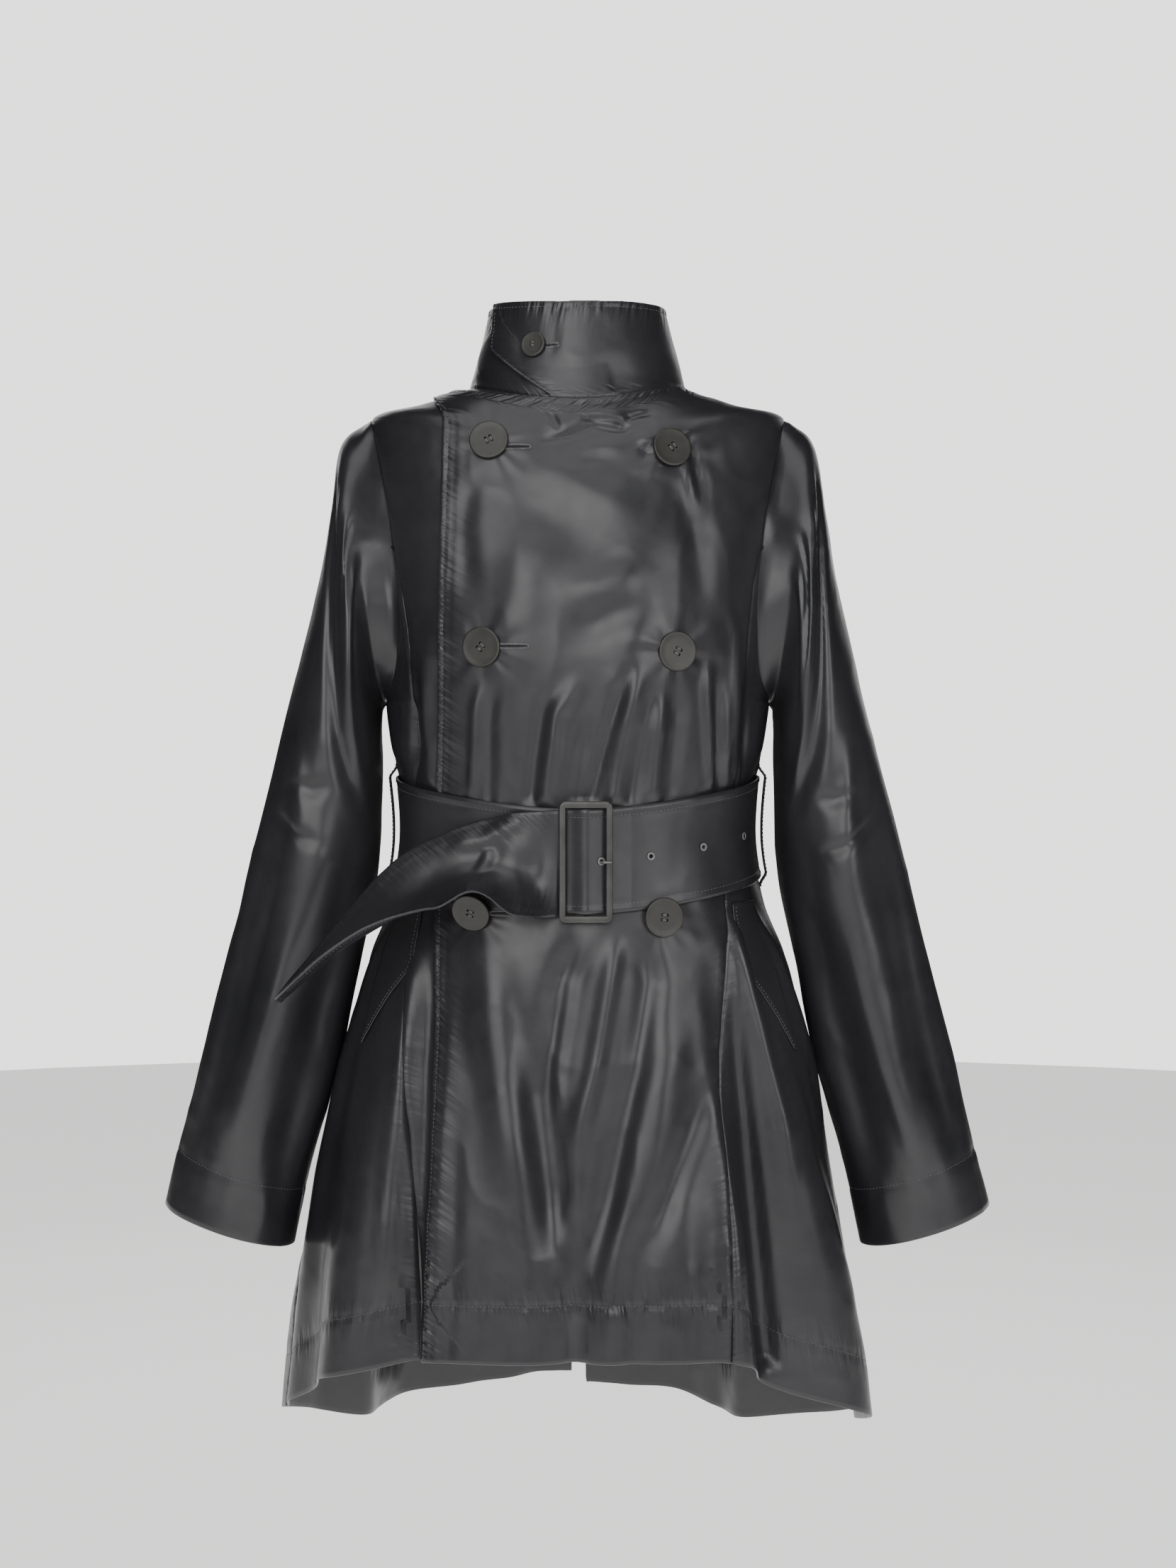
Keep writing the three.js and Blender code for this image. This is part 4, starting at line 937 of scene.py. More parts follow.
# Creases of the front, across and up as seen square on.
FRONT_CREASES = creases(
    (((-34, -51), (-13, -46), (-2, -42.7), (7, -38.7), (15, -36), (31, -39.3), (41.5, -38), (48, -36)),
     2.8, -2.3, (0.3, 0.15), 0.4),
    (((-30, -42), (-13, -37), (4, -29), (15, -25), (31, -27), (44, -27)), 9.5, 2.4, (0.3, 0.2), 0.4),
    (((-10, -62), (15, -54), (45, -52)), 9, 1.6, (0.4, 0.4)),
    (((0, -31), (15, -30.5), (29.5, -31), (42.8, -37)), 2.8, -1.6, (0.25, 0.1), 0.4),
    (((38, -31), (49.5, -26), (62.8, -24)), 3.0, -2.0, (0.15, 0.3), 0.4),
    (((-26, -18), (-19, -30), (-13, -42)), 3.0, -1.6, (0.2, 0.4), 0.6),
    (((48, -44), (62, -50)), 5.0, 1.4, (0.3, 0.2), 0.5),
    (((50, -52), (60, -62)), 3.6, -1.5, (0.3, 0.2), 0.5),
    (((80, -34), (87, -60), (97, -110)), 5.0, 2.4, (0.3, 0.5), 0.8),
    (((90, -38), (96, -70), (106, -116)), 5.5, -2.4, (0.3, 0.5), 0.8),
    (((-45, -62), (10, -88), (55, -110)), 20, 2.6, (0.3, 0.3)),
    (((-50, -104), (0, -130), (45, -152)), 22, -2.4, (0.3, 0.4)),
    (((-30, -180), (20, -166), (64, -150)), 15, 2.2, (0.4, 0.3)),
    (((-20, -212), (20, -197), (64, -180)), 15, -2.2, (0.4, 0.3)),
    (((84, -74), (96, -130), (104, -200)), 13, -2.6, (0.3, 0.5)),
    (((-86, -70), (-92, -120), (-88, -190)), 12, -2.2, (0.3, 0.4)),
    (((-40, -100), (-44, -180), (-56, -260)), 26, 3.4, (0.4, 0.5)),
    (((40, -150), (46, -230), (50, -320)), 24, 3.2, (0.4, 0.4)),
    (((6, -236), (-17, -270), (-27, -338)), 9, 3.4, (0.3, 0.0)),
    (((-24, -245), (-34, -311), (-36, -338)), 8, -2.6, (0.3, 0.0)),
    (((10, -270), (3, -313), (0, -338)), 7, -2.0, (0.4, 0.0)),
    (((44, -223), (37, -245), (20, -299), (10, -338)), 6, -3.0, (0.3, 0.0)),
    (((52, -226), (40, -275), (28, -338)), 8, 3.2, (0.3, 0.0)),
    (((62, -240), (52, -290), (44, -338)), 7, -2.4, (0.3, 0.0)),
    (((70, -250), (63, -300), (60, -338)), 7, 2.6, (0.3, 0.0)),
    (((84, -240), (78, -290), (74, -338)), 9, -2.8, (0.3, 0.0)),
    (((-75, -236), (-82, -265), (-85, -338)), 5, 2.6, (0.3, 0.0)),
    (((-66, -240), (-70, -275), (-70, -338)), 6, -2.0, (0.3, 0.0)),
    (((108, -216), (105, -250), (110, -335)), 5, 3.2, (0.3, 0.1)),
    (((115, -232), (113, -335)), 4.5, -3.2, (0.3, 0.1)),
    (((121, -240), (122, -335)), 4, 2.6, (0.4, 0.1)),
    (((119, -172), (130, -204), (130, -335)), 5, 2.6, (0.3, 0.1)),
    (((141, -210), (137, -330)), 3.5, -1.8, (0.4, 0.1)),
    (((-120, -190), (-124, -270), (-118, -340)), 7, 2.6, (0.4, 0.1)),
    (((-132, -220), (-134, -330)), 5, -2.2, (0.4, 0.1)),
    (((-74, -436), (-66, -501), (-52, -603), (-36, -700)), 22, 6.2, (0.2, 0.4), 0.4),
    (((4, -440), (-12, -492), (-24, -573), (-14, -660), (2, -724)), 18, -7.4, (0.15, 0.3), 0.4),
    (((12, -438), (-5, -483), (-16, -555), (-16, -620)), 7, 2.4, (0.2, 0.4), 0.5),
    (((34, -436), (25, -492), (14, -555), (0, -603), (-6, -640)), 9, 4.4, (0.2, 0.4), 0.5),
    (((50, -436), (58, -483), (47, -555), (36, -603), (18, -690), (10, -730)), 13, -6.6,
     (0.15, 0.3), 0.4),
    (((108, -556), (92, -603), (74, -650), (58, -700)), 12, -4.4, (0.3, 0.3), 0.4),
    (((84, -500), (66, -603), (44, -700)), 14, 3.0, (0.3, 0.3), 0.4),
    (((126, -470), (132, -560), (144, -680), (155, -790)), 8, -8.5, (0.3, 0.0), 0.3),
    (((121, -424), (134, -470), (152, -540), (168, -601), (182, -700)), 6, 4.2, (0.1, 0.4), 0.5),
    (((-128, -440), (-138, -520), (-148, -620), (-158, -760)), 9, 4.2, (0.15, 0.2), 0.4),
    (((-116, -450), (-122, -560), (-128, -783)), 5, -3.6, (0.3, 0.0), 0.3),
    (((92, -640), (88, -780)), 14, 2.4, (0.5, 0.0)),
    (((30, -720), (34, -783)), 12, 2.2, (0.5, 0.0)),
    (((-30, -700), (-26, -783)), 12, -1.8, (0.5, 0.0)),
    (((-96, -560), (-100, -783)), 9, -1.6, (0.5, 0.0)),
)
# Creases of the sides and the back, in degrees from the centre front and up.
ROUND_CREASES = creases(
    (((176, -420), (208, -560), (214, -700)), 12, 3.6, (0.2, 0.5)),
    (((195, -420), (236, -600), (262, -760)), 14, -3.6, (0.2, 0.4)),
    (((-184, -420), (-206, -560), (-222, -760)), 13, 3.4, (0.2, 0.4)),
    (((-216, -430), (-242, -620), (-250, -800)), 13, -3.6, (0.2, 0.4)),
    (((300, -420), (318, -560), (330, -780)), 15, 3.8, (0.2, 0.4)),
    (((372, -420), (380, -600), (372, -820)), 17, -4.0, (0.2, 0.4)),
    (((-300, -420), (-322, -560), (-336, -780)), 15, 3.8, (0.2, 0.4)),
    (((-380, -430), (-384, -640), (-378, -820)), 16, -4.0, (0.2, 0.4)),
    (((330, -60), (380, -110), (430, -130)), 14, -2.6, (0.4, 0.5)),
    (((-330, -60), (-384, -112), (-430, -128)), 14, -2.6, (0.4, 0.5)),
    (((318, -160), (350, -230), (360, -320)), 15, 3.0, (0.4, 0.2)),
    (((-318, -170), (-346, -240), (-366, -320)), 15, 3.0, (0.4, 0.2)),
    (((420, -200), (424, -330)), 14, -3.0, (0.4, 0.1)),
    (((-416, -190), (-410, -330)), 14, -3.0, (0.4, 0.1)),
    (((250, -230), (262, -325)), 8, 2.4, (0.4, 0.1)),
    (((-246, -220), (-258, -325)), 8, 2.4, (0.4, 0.1)),
)
# Millimetres of the chart for each degree round the body.
CHART_STEP = 2.6
# How much longer than wide small folds are, as a share of the height that their noise reads.
FOLD_STRETCH = 0.12
# Power of the cosine by which the belt hangs lower in front.
BELT_CURVE = 1.5


def cloth_relief(points: Array, strength: float = 1.0) -> Array:
    """Soft unevenness and fine crush of the cloth, alike on neighbouring pieces.

    Args:
        points: Points of the cloth, in millimetres.
        strength: Share of its usual height.

    Returns:
        How far each point moves out.
    """
    soft = 1.3 * lattice_noise(points, (64, 64, 92), 3) + 0.6 * lattice_noise(points, (26, 26, 40), 5)
    crush = 1.0 - 2.4 * np.abs(lattice_noise(points, (34, 34, 52), 8))
    return strength * (soft + 0.45 * np.maximum(crush, 0.0) ** 2)


class Stitch(Enum):
    """Kinds of sewing: name, pitch, thread length and radius in millimetres, and turn to the line."""

    TOP = ("topstitching", 3.3, 2.5, 0.27, 0.0)
    HOLE = ("buttonhole_stitches", 0.8, 2.6, 0.45, RIGHT_ANGLE)


@dataclass
class Sewing:
    """Lines of thread that lie on the cloth, made into stitches together."""

    lift: float = 0.12
    wobble: float = 0.07
    seed: int = 4
    paths: dict[Stitch, list[tuple[Array, Array]]] = field(default_factory=dict)

    def add(self, kind: Stitch, line: tuple[Array, Array]) -> None:
        """Keeps a line of points and outward directions for one kind of stitch."""
        points, normals = line
        self.paths.setdefault(kind, []).append((points + normals * self.lift, normals))

    def tree(self, kind: Stitch) -> bpy.types.NodeTree:
        """Builds the node tree that sets stitches along a path mesh.

        Args:
            kind: Kind of stitch.

        Returns:
            The tree, with its sizes as inputs.
        """
        tree = bpy.data.node_groups.new(kind.value[0], "GeometryNodeTree")
        socket = tree.interface.new_socket
        socket("Path", in_out="INPUT", socket_type="NodeSocketGeometry")
        for name in ("Pitch", "Length", "Radius", "Turn"):
            socket(name, in_out="INPUT", socket_type="NodeSocketFloat")
        socket("Seed", in_out="INPUT", socket_type="NodeSocketInt")
        socket("Thread", in_out="INPUT", socket_type="NodeSocketMaterial")
        socket("Stitches", in_out="OUTPUT", socket_type="NodeSocketGeometry")
        nodes = NodeTree(tree)
        given = nodes.add("NodeGroupInput").outputs
        curve = nodes.add("GeometryNodeMeshToCurve", Mesh=given["Path"])
        even = nodes.add("GeometryNodeResampleCurve", {"mode": "LENGTH"}, Curve=curve.outputs[0],
                         Length=given["Pitch"])
        ball = nodes.add("GeometryNodeMeshIcoSphere", Radius=1.0, Subdivisions=1)
        half = nodes.math("MULTIPLY", given["Length"], 0.5)
        size = nodes.add("ShaderNodeCombineXYZ", X=half, Y=given["Radius"], Z=given["Radius"])
        thread = nodes.add("GeometryNodeTransform", Geometry=ball.outputs[0], Scale=size.outputs[0])
        along = nodes.add("FunctionNodeAlignRotationToVector", {"axis": "X"},
                          Vector=nodes.add("GeometryNodeInputTangent").outputs[0])
        out = nodes.add("GeometryNodeInputNamedAttribute", {"data_type": "FLOAT_VECTOR"}, Name="out")
        facing = nodes.add("FunctionNodeAlignRotationToVector", {"axis": "Z", "pivot_axis": "X"},
                           Rotation=along.outputs[0], Vector=out.outputs["Attribute"])
        wobble = nodes.add("FunctionNodeRandomValue", {"data_type": "FLOAT"}, Seed=given["Seed"])
        wobble.inputs[2].default_value, wobble.inputs[3].default_value = -self.wobble, self.wobble
        spin = nodes.math("ADD", given["Turn"], wobble.outputs[1])
        turn = nodes.add("FunctionNodeAxisAngleToRotation", Axis=(0.0, 0.0, 1.0), Angle=spin)
        placed = nodes.add("FunctionNodeRotateRotation", {"rotation_space": "LOCAL"},
                           Rotation=facing.outputs[0], Rotate_By=turn.outputs[0])
        many = nodes.add("GeometryNodeInstanceOnPoints", Points=even.outputs[0], Instance=thread.outputs[0],
                         Rotation=placed.outputs[0])
        real = nodes.add("GeometryNodeRealizeInstances", Geometry=many.outputs[0])
        done = nodes.add("GeometryNodeSetMaterial", Geometry=real.outputs[0], Material=given["Thread"])
        nodes.add("NodeGroupOutput", Stitches=done.outputs[0])
        return tree

    def build(self, threads: dict[Stitch, Material]) -> None:
        """Makes one piece of each kind of stitch.

        Args:
            threads: Finish of each kind's thread.
        """
        for kind, lines in self.paths.items():
            thread = threads[kind]
            name, pitch, length, radius, turn = kind.value
            sizes = np.cumsum([0] + [len(points) for points, _ in lines])
            edges = [(int(first), int(first) + 1) for start, end in zip(sizes, sizes[1:])
                     for first in range(start, end - 1)]
            mesh = bpy.data.meshes.new(name + "_path")
            mesh.from_pydata((np.concatenate([points for points, _ in lines]) * MM).tolist(), edges, [])
            out = mesh.attributes.new("out", "FLOAT_VECTOR", "POINT")
            out.data.foreach_set("vector", np.concatenate([normals for _, normals in lines]).ravel())
            guide = bpy.data.objects.new(name + "_path", mesh)
            bpy.context.scene.collection.objects.link(guide)
            modifier = guide.modifiers.new("stitches", "NODES")
            modifier.node_group = self.tree(kind)
            values = {"Pitch": pitch * MM, "Length": length * MM, "Radius": radius * MM,
                      "Turn": math.radians(turn), "Seed": self.seed, "Thread": thread}
            for item in modifier.node_group.interface.items_tree:
                if item.in_out == "INPUT" and item.name in values:
                    modifier[item.identifier] = values[item.name]
            piece = bpy.data.objects.new(name, evaluated_mesh(guide, name))
            bpy.data.objects.remove(guide)
            bpy.context.scene.collection.objects.link(piece)
            piece.data.polygons.foreach_set("use_smooth", np.ones(len(piece.data.polygons), bool))
            finish_piece(piece, thread, "cloth")


def evaluated_mesh(piece: Piece, name: str) -> Mesh:
    """A plain mesh of a piece with its modifiers applied.

    Args:
        piece: The piece.
        name: Name of the new mesh.

    Returns:
        The mesh.
    """
    depsgraph = bpy.context.evaluated_depsgraph_get()
    mesh = bpy.data.meshes.new_from_object(piece.evaluated_get(depsgraph))
    mesh.name = name
    return mesh


def finish_piece(piece: Piece, material: Material, slot: str,
                 *nodes: str) -> Piece:
    """Dresses a piece and fixes it to the coat.

    Args:
        piece: The piece.
        material: Its finish.
        slot: Name of a material slot; not used.
        *nodes: Solids that it stands for.

    Returns:
        The piece.
    """
    if not piece.data.materials:
        piece.data.materials.append(material)
    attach(piece, "root")
    if nodes:
        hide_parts(*nodes)
    LOG.info("%s: %d faces", piece.name, len(piece.data.polygons))
    return piece


@dataclass
class Cut:
    """Flat cut of a piece of cloth: width, length and area in metres."""

    width: float
    length: float
    area: float | None = None
    held: str = "hung"
    rests_on: tuple[str, ...] = ()


@dataclass
class ClothPart:
    """A part that is sewn from one cloth."""

    cloth: Material
    sewing: Sewing
    thickness: float = 1.5

    def topstitch(self, grid: Cloth, *line: Edge | float) -> None:
        """Topstitches along a line beside an edge of a grid."""
        self.sewing.add(Stitch.TOP, grid.line(*line))

    def make(self, grid: Cloth, node: str, cut: Cut) -> None:
        """Makes a sheet from its grid, in place of its solid."""
        piece = grid.piece(node + "_cloth", self.thickness)
        finish_piece(piece, self.cloth, "cloth", node)


def mirrored(angles: Array, sign: int) -> Array:
    """A left-hand grid of angles, turned over where the sign asks for the right."""
    return angles if sign > 0 else -angles[:, ::-1]


@dataclass
class BodyPanels(ClothPart):
    """The fronts, side fronts and backs, joined along their seams."""

    hem_line: float = 45.0
    edge_line: float = 5.0
    neck_line: float = 5.0
    back_neck_line: float = 1.0
    lining_line: float = 14.0
    pressed_line: float = 11.0
    pressed_depth: float = 0.45
    pressed_width: float = 2.5
    # Width beside the folded edge that stays flat, and the deepest that it dips.
    flat_edge: tuple[float, float] = (30.0, -0.8)
    # How far the over front's corner drops, over which angles, and how far down it fades.
    neck_drop: float = 14.0
    neck_drop_angles: tuple[float, float] = (10.0, 75.0)
    neck_drop_end: float = 60.0
    hem_fold_height: float = 0.9
    hem_fold_width: float = 8.0
    under_last: float = 56.0
    # Places across between which the under front comes out from under the over front.
    hidden_under: tuple[float, float] = (-112.0, -122.0)
    belt_height: float = -364.0
    belt_droop: float = 23.0
    belt_half: float = 42.0
    belt_fade: float = 9.0
    # Height, width and reach of the small folds beside the belt.
    belt_crush: tuple[float, float, float] = (1.7, 21.0, 38.0)
    # Angles over which the front's creases give way to those of the sides.
    front_fade: tuple[float, float] = (68.0, 84.0)
    vent_start: float = 640.0
    vent_half: float = 22.0
    # Height, number of rays for each radian and reach of the gathers round a button.
    button_gather: tuple[float, float, float] = (1.3, 3.2, 34.0)
    lining_lift: float = -2.3
    lining_thickness: float = 0.9

    def rows(self, first: float, last: float, step: float = 4.2) -> Array:
        """Distances down of the rows between two places."""
        count = int((last - first) / step) + 1
        return np.linspace(first, last, count)[:, None]

    def from_belt(self, points: Array) -> Array:
        """Distance of each point above or below the belt's middle."""
        angle = np.arctan2(points[..., 0], -points[..., 1])
        middle = self.belt_height - self.belt_droop * np.maximum(np.cos(angle), 0.0) ** BELT_CURVE
        return np.abs(points[..., 2] - middle)

    def belt_mask(self, points: Array) -> Array:
        """Share of each point that lies under the belt."""
        fade_end = self.belt_half + self.belt_fade
        return 1.0 - smooth_step(self.belt_half, fade_end, self.from_belt(points))

    def base_relief(self, points: Array) -> Array:
        """Creases and unevenness that run on from one panel to the next.

        Args:
            points: Points of the panel, in millimetres.

        Returns:
            How far each point moves out.
        """
        angle = np.degrees(np.arctan2(points[..., 0], -points[..., 1]))
        front = 1.0 - smooth_step(*self.front_fade, np.abs(angle))
        relief = front * crease_relief(FRONT_CREASES, points[..., 0], points[..., 2])
        turned = np.where(angle < -RIGHT_ANGLE, angle + 360.0, angle)
        for place, share in ((angle, np.abs(angle) < 179.9), (turned - 360.0, turned > 170.0)):
            relief += share * crease_relief(ROUND_CREASES, place * CHART_STEP, points[..., 2])
        strip = np.stack([angle * CHART_STEP, points[..., 2] * FOLD_STRETCH], -1)
        height, width, reach = self.belt_crush
        beside_belt = np.maximum(self.from_belt(points) - self.belt_half, 0.0)
        relief += height * lattice_noise(strip, width, 21) * np.exp(-beside_belt / reach)
        relief += cloth_relief(points)
        mask = self.belt_mask(points)
        return (1.0 - mask) * relief + mask * np.clip(relief, -1.5, 0.4)

    def panel(self, angles: Array, down: Array, lift: Array | float = 0.0) -> tuple[Cloth, Array, Array]:
        """Lays a panel over the body and gives it the shared relief.

        Args:
            angles: Angle of each point, by row and column.
            down: Distance down of each point.
            lift: How far the panel stands out.

        Returns:
            The cloth, with its angles and distances down.
        """
        angles, down = np.broadcast_arrays(angles, down)
        cloth = Cloth(BODY.point(angles, down, np.broadcast_to(lift, angles.shape)))
        return cloth, angles, down

    def settle(self, cloth: Cloth, detail: Array, armhole: Array | float = 1.0, neck: bool = True) -> None:
        """Adds the shared relief and a panel's own to its cloth.

        Args:
            cloth: The panel's cloth.
            detail: The panel's own relief.
            armhole: Share of the relief that stays near the armhole.
            neck: True where the panel's top edge joins the collar.
        """
        under_belt = self.belt_mask(cloth.points)
        detail = (1.0 - under_belt) * detail + under_belt * np.clip(detail, -1.0, 0.2)
        seam = smooth_step(0.0, 5.0, cloth.from_edge(Edge.TOP)) if neck else 1.0
        cloth.push(armhole * seam * (self.base_relief(cloth.points) + detail))

    def armhole_share(self, cloth: Cloth, down: Array, edge: Edge) -> Array:
        """Share of the relief kept beside the armhole, where the sleeve joins on."""
        beside = smooth_step(0.0, 7.0, cloth.from_edge(edge))
        inside = smooth_step(BODY.shoulder - 14, BODY.shoulder, down) * (1 - smooth_step(318, 332, down))
        return 1.0 - inside * (1.0 - beside)

    def build_fronts(self) -> None:
        """Makes the over front and the under front."""
        down = np.concatenate([np.arange(0.0, 12.0, 1.2)[:, None], self.rows(12.0, BODY.hem, 3.3)])
        self.build_over_front(down)
        self.build_under_front(down)

    def build_over_front(self, down: Array) -> None:
        """Makes the over front, with its folded edge and the gathers of its buttons.

        Args:
            down: Distance down of each row.
        """
        share = np.linspace(0.0, 1.0, 104)[None, :] ** 1.25
        first = BODY.front_angle(np.where(down < 14, -108.0, OVER_EDGE.read("x", down)), down)
        edge = BODY.panel_edge("left", down)
        last = edge - BODY.gap_angle(edge, down, BODY.seam_gap / 2)
        angles = first + (last - first) * share
        near_neck = np.clip(1 - down / self.neck_drop_end, 0, 1)
        dropped = down + self.neck_drop * smooth_step(*self.neck_drop_angles, -angles) * near_neck
        cloth, angles, down_all = self.panel(angles, dropped, BODY.over_lift(angles, dropped))
        side, hem = cloth.from_edge(Edge.FIRST), cloth.from_edge(Edge.BOTTOM)
        detail = cloth.sew(Edge.FIRST, self.edge_line, "front_edge")
        pressed = np.exp(-(((side - self.pressed_line) / self.pressed_width) ** 2))
        detail = detail - self.pressed_depth * pressed
        flat_width, flat_floor = self.flat_edge
        detail = np.where(side < flat_width, np.maximum(detail, flat_floor), detail)
        detail += cloth.sew(Edge.BOTTOM, self.hem_line, "front_hem")
        detail += cloth.sew(Edge.LAST, 0.0, "over_princess")
        detail += cloth.sew(Edge.TOP, self.neck_line, "over_neck")
        strip = np.stack([cloth.across, hem * FOLD_STRETCH], -1)
        hem_folds = lattice_noise(strip, self.hem_fold_width, 39)
        below_line = smooth_step(self.hem_line + 4.0, self.hem_line - 8.0, hem)
        detail += self.hem_fold_height * below_line * hem_folds
        detail += self.button_gathers(cloth.points)
        self.settle(cloth, detail, self.armhole_share(cloth, down_all, Edge.LAST))
        self.topstitch(cloth, Edge.FIRST, self.edge_line, 0.02)
        self.topstitch(cloth, Edge.BOTTOM, self.hem_line, 0.02)
        self.topstitch(cloth, Edge.TOP, self.neck_line, 0.0, 0.28)
        self.make(cloth, "front_over", Cut(0.30, 0.80, 0.21))
        self.over = cloth

    def build_under_front(self, down: Array) -> None:
        """Makes the under front, whose inner part lies hidden.

        Args:
            down: Distance down of each row.
        """
        share = np.linspace(0.0, 1.0, 76)[None, :]
        edge = -BODY.panel_edge("right", down)
        first = edge + BODY.gap_angle(edge, down, BODY.seam_gap / 2)
        last = BODY.front_angle(np.full(down.shape, self.under_last), down)
        cloth, _, down_all = self.panel(first + (last - first) * share, down)
        hidden = smooth_step(*self.hidden_under, cloth.points[..., 0])
        detail = hidden * cloth.sew(Edge.FIRST, 0.0, "under_princess")
        detail += hidden * cloth.sew(Edge.BOTTOM, self.hem_line, "front_hem")
        self.settle(cloth, detail, self.armhole_share(cloth, down_all, Edge.FIRST))
        self.topstitch(cloth, Edge.BOTTOM, self.hem_line, 0.0, 0.12)
        self.make(cloth, "front_under", Cut(0.24, 0.80, 0.166))

    def button_gathers(self, points: Array) -> Array:
        """Gathers that run out from the buttons and buttonholes of the over front.

        Args:
            points: Points of the over front, in millimetres.

        Returns:
            How far each point moves out.
        """
        height, rays, reach = self.button_gather
        total = np.zeros(points.shape[:-1])
        for seed, (_, x, z) in enumerate(FRONT_BUTTONS):
            away_x, away_z = points[..., 0] - x, points[..., 2] - z
            away = np.hypot(away_x, away_z)
            turn = np.arctan2(away_z, away_x)
            ring = np.stack([np.cos(turn) * rays + seed * 9.0, np.sin(turn) * rays], -1)
            total += height * lattice_noise(ring, 1.0, 51 + seed) * np.exp(-((away / reach) ** 2))
        return total

    def build_sides(self) -> None:
        """Makes both side fronts."""
        down = self.rows(BODY.princess, BODY.hem)
        for side, sign in SIDES:
            seam = BODY.panel_edge(side, down)
            outer = BODY.front_side(down)
            first = seam + BODY.gap_angle(seam, down, BODY.seam_gap / 2)
            last = outer - BODY.gap_angle(outer, down, BODY.seam_gap / 2)
            angles = first + (last - first) * np.linspace(0.0, 1.0, 56)[None, :]
            cloth, _, down_all = self.panel(mirrored(angles, sign), down)
            seam_edge, outer_edge = (Edge.FIRST, Edge.LAST)[::sign]
            detail = cloth.sew(seam_edge, 0.0, "side_princess")
            detail += cloth.sew(outer_edge, 0.0, "side_seam")
            detail += cloth.sew(Edge.BOTTOM, self.hem_line, "side_hem")
            self.settle(cloth, detail, self.armhole_share(cloth, down_all, outer_edge), False)
            self.topstitch(cloth, Edge.BOTTOM, self.hem_line)
            self.make(cloth, f"side_front_{side}", Cut(0.17, 0.74, 0.086))

    def back_angles(self, down: Array) -> Array:
        """Angles of the back's side edge and of its centre edge."""
        side = np.full(down.shape, RIGHT_ANGLE)
        first = BODY.back_side(down) + BODY.gap_angle(side, down, BODY.seam_gap / 2)
        opened = self.vent_half * np.clip((down - self.vent_start) / (BODY.hem - self.vent_start), 0, 1)
        last = 180.0 - BODY.gap_angle(np.full(down.shape, 180.0), down, BODY.seam_gap / 2 + opened)
        return np.stack([first, last])

    def build_backs(self) -> None:
        """Makes both backs."""
        down = self.rows(0.0, BODY.hem)
        first, last = self.back_angles(down)
        for side, sign in SIDES:
            angles = first + (last - first) * np.linspace(0.0, 1.0, 88)[None, :]
            cloth, _, down_all = self.panel(mirrored(angles, sign), down)
            side_edge, centre_edge = (Edge.FIRST, Edge.LAST)[::sign]
            detail = cloth.sew(side_edge, 0.0, "side_seam")
            detail += cloth.sew(centre_edge, 0.0, "centre_seam")
            detail += cloth.sew(Edge.BOTTOM, self.hem_line, "back_hem")
            detail += cloth.sew(Edge.TOP, self.back_neck_line, "back_neck")
            self.settle(cloth, detail, self.armhole_share(cloth, down_all, side_edge))
            self.topstitch(cloth, Edge.BOTTOM, self.hem_line)
            self.topstitch(cloth, centre_edge, self.edge_line, 0.66, 1.0)
            self.make(cloth, f"back_{side}", Cut(0.30, 0.96, 0.232))

    def build_linings(self, lining: Material) -> None:
        """Makes the skirt linings inside the backs.

        Args:
            lining: Finish of the lining.
        """
        down = self.rows(506.0, 872.0)
        first, last = self.back_angles(down)
        for side, sign in SIDES:
            share = np.linspace(1.0 / 11.0, 9.0 / 11.0, 40)[None, :]
            angles = mirrored(first + (last - first) * share, sign)
            cloth, _, _ = self.panel(angles, down, self.lining_lift)
            hem = cloth.sew(Edge.BOTTOM, self.lining_line, "lining_hem")
            cloth.push(self.base_relief(cloth.points) + hem)
            piece = cloth.piece(f"lining_{side}_cloth", self.lining_thickness)
            finish_piece(piece, lining, "lining", f"lining_{side}")


SLEEVE_SECTIONS = Table("along outer_x outer_z inner_x inner_z front back shift", [
    (0.0, 176, -22, 161, -260, 66, 62, 0), (0.06, 198, -42, 166, -268, 74, 68, -2),
    (0.13, 206, -92, 167, -286, 78, 70, -4), (0.22, 216, -150, 166, -310, 77, 68, -6),
    (0.34, 234, -226, 168, -348, 73, 63, -9), (0.48, 257, -320, 176, -402, 68, 58, -12),
    (0.64, 283, -424, 194, -480, 61, 55, -15), (0.82, 315, -551, 217, -595, 57, 54, -16),
    (1.0, 348.5, -681, 240, -716, 54, 52, -17),
])
# Each fold of a sleeve: where it starts and ends, as a place along and an angle, half-width and depth.
SLEEVE_FOLDS = (
    (0.04, 28, 0.42, 128, 30, -7), (0.05, 62, 0.36, 122, 28, 4), (0.4, 104, 0.98, 84, 30, 8),
    (0.44, 60, 0.95, 50, 26, -5), (0.5, 140, 0.98, 128, 24, -6), (0.06, 310, 0.5, 240, 26, -7),
    (0.42, 262, 0.98, 272, 28, 6),
)
# Slack of a sleeve's inner side: how far it hangs towards the body.
SLEEVE_SLACK = Table("along depth", [
    (0, 0), (0.3, 1), (0.4, 6), (0.5, 9.5), (0.66, 10), (0.74, 9), (0.82, 6), (0.9, 1), (1, 0),
])
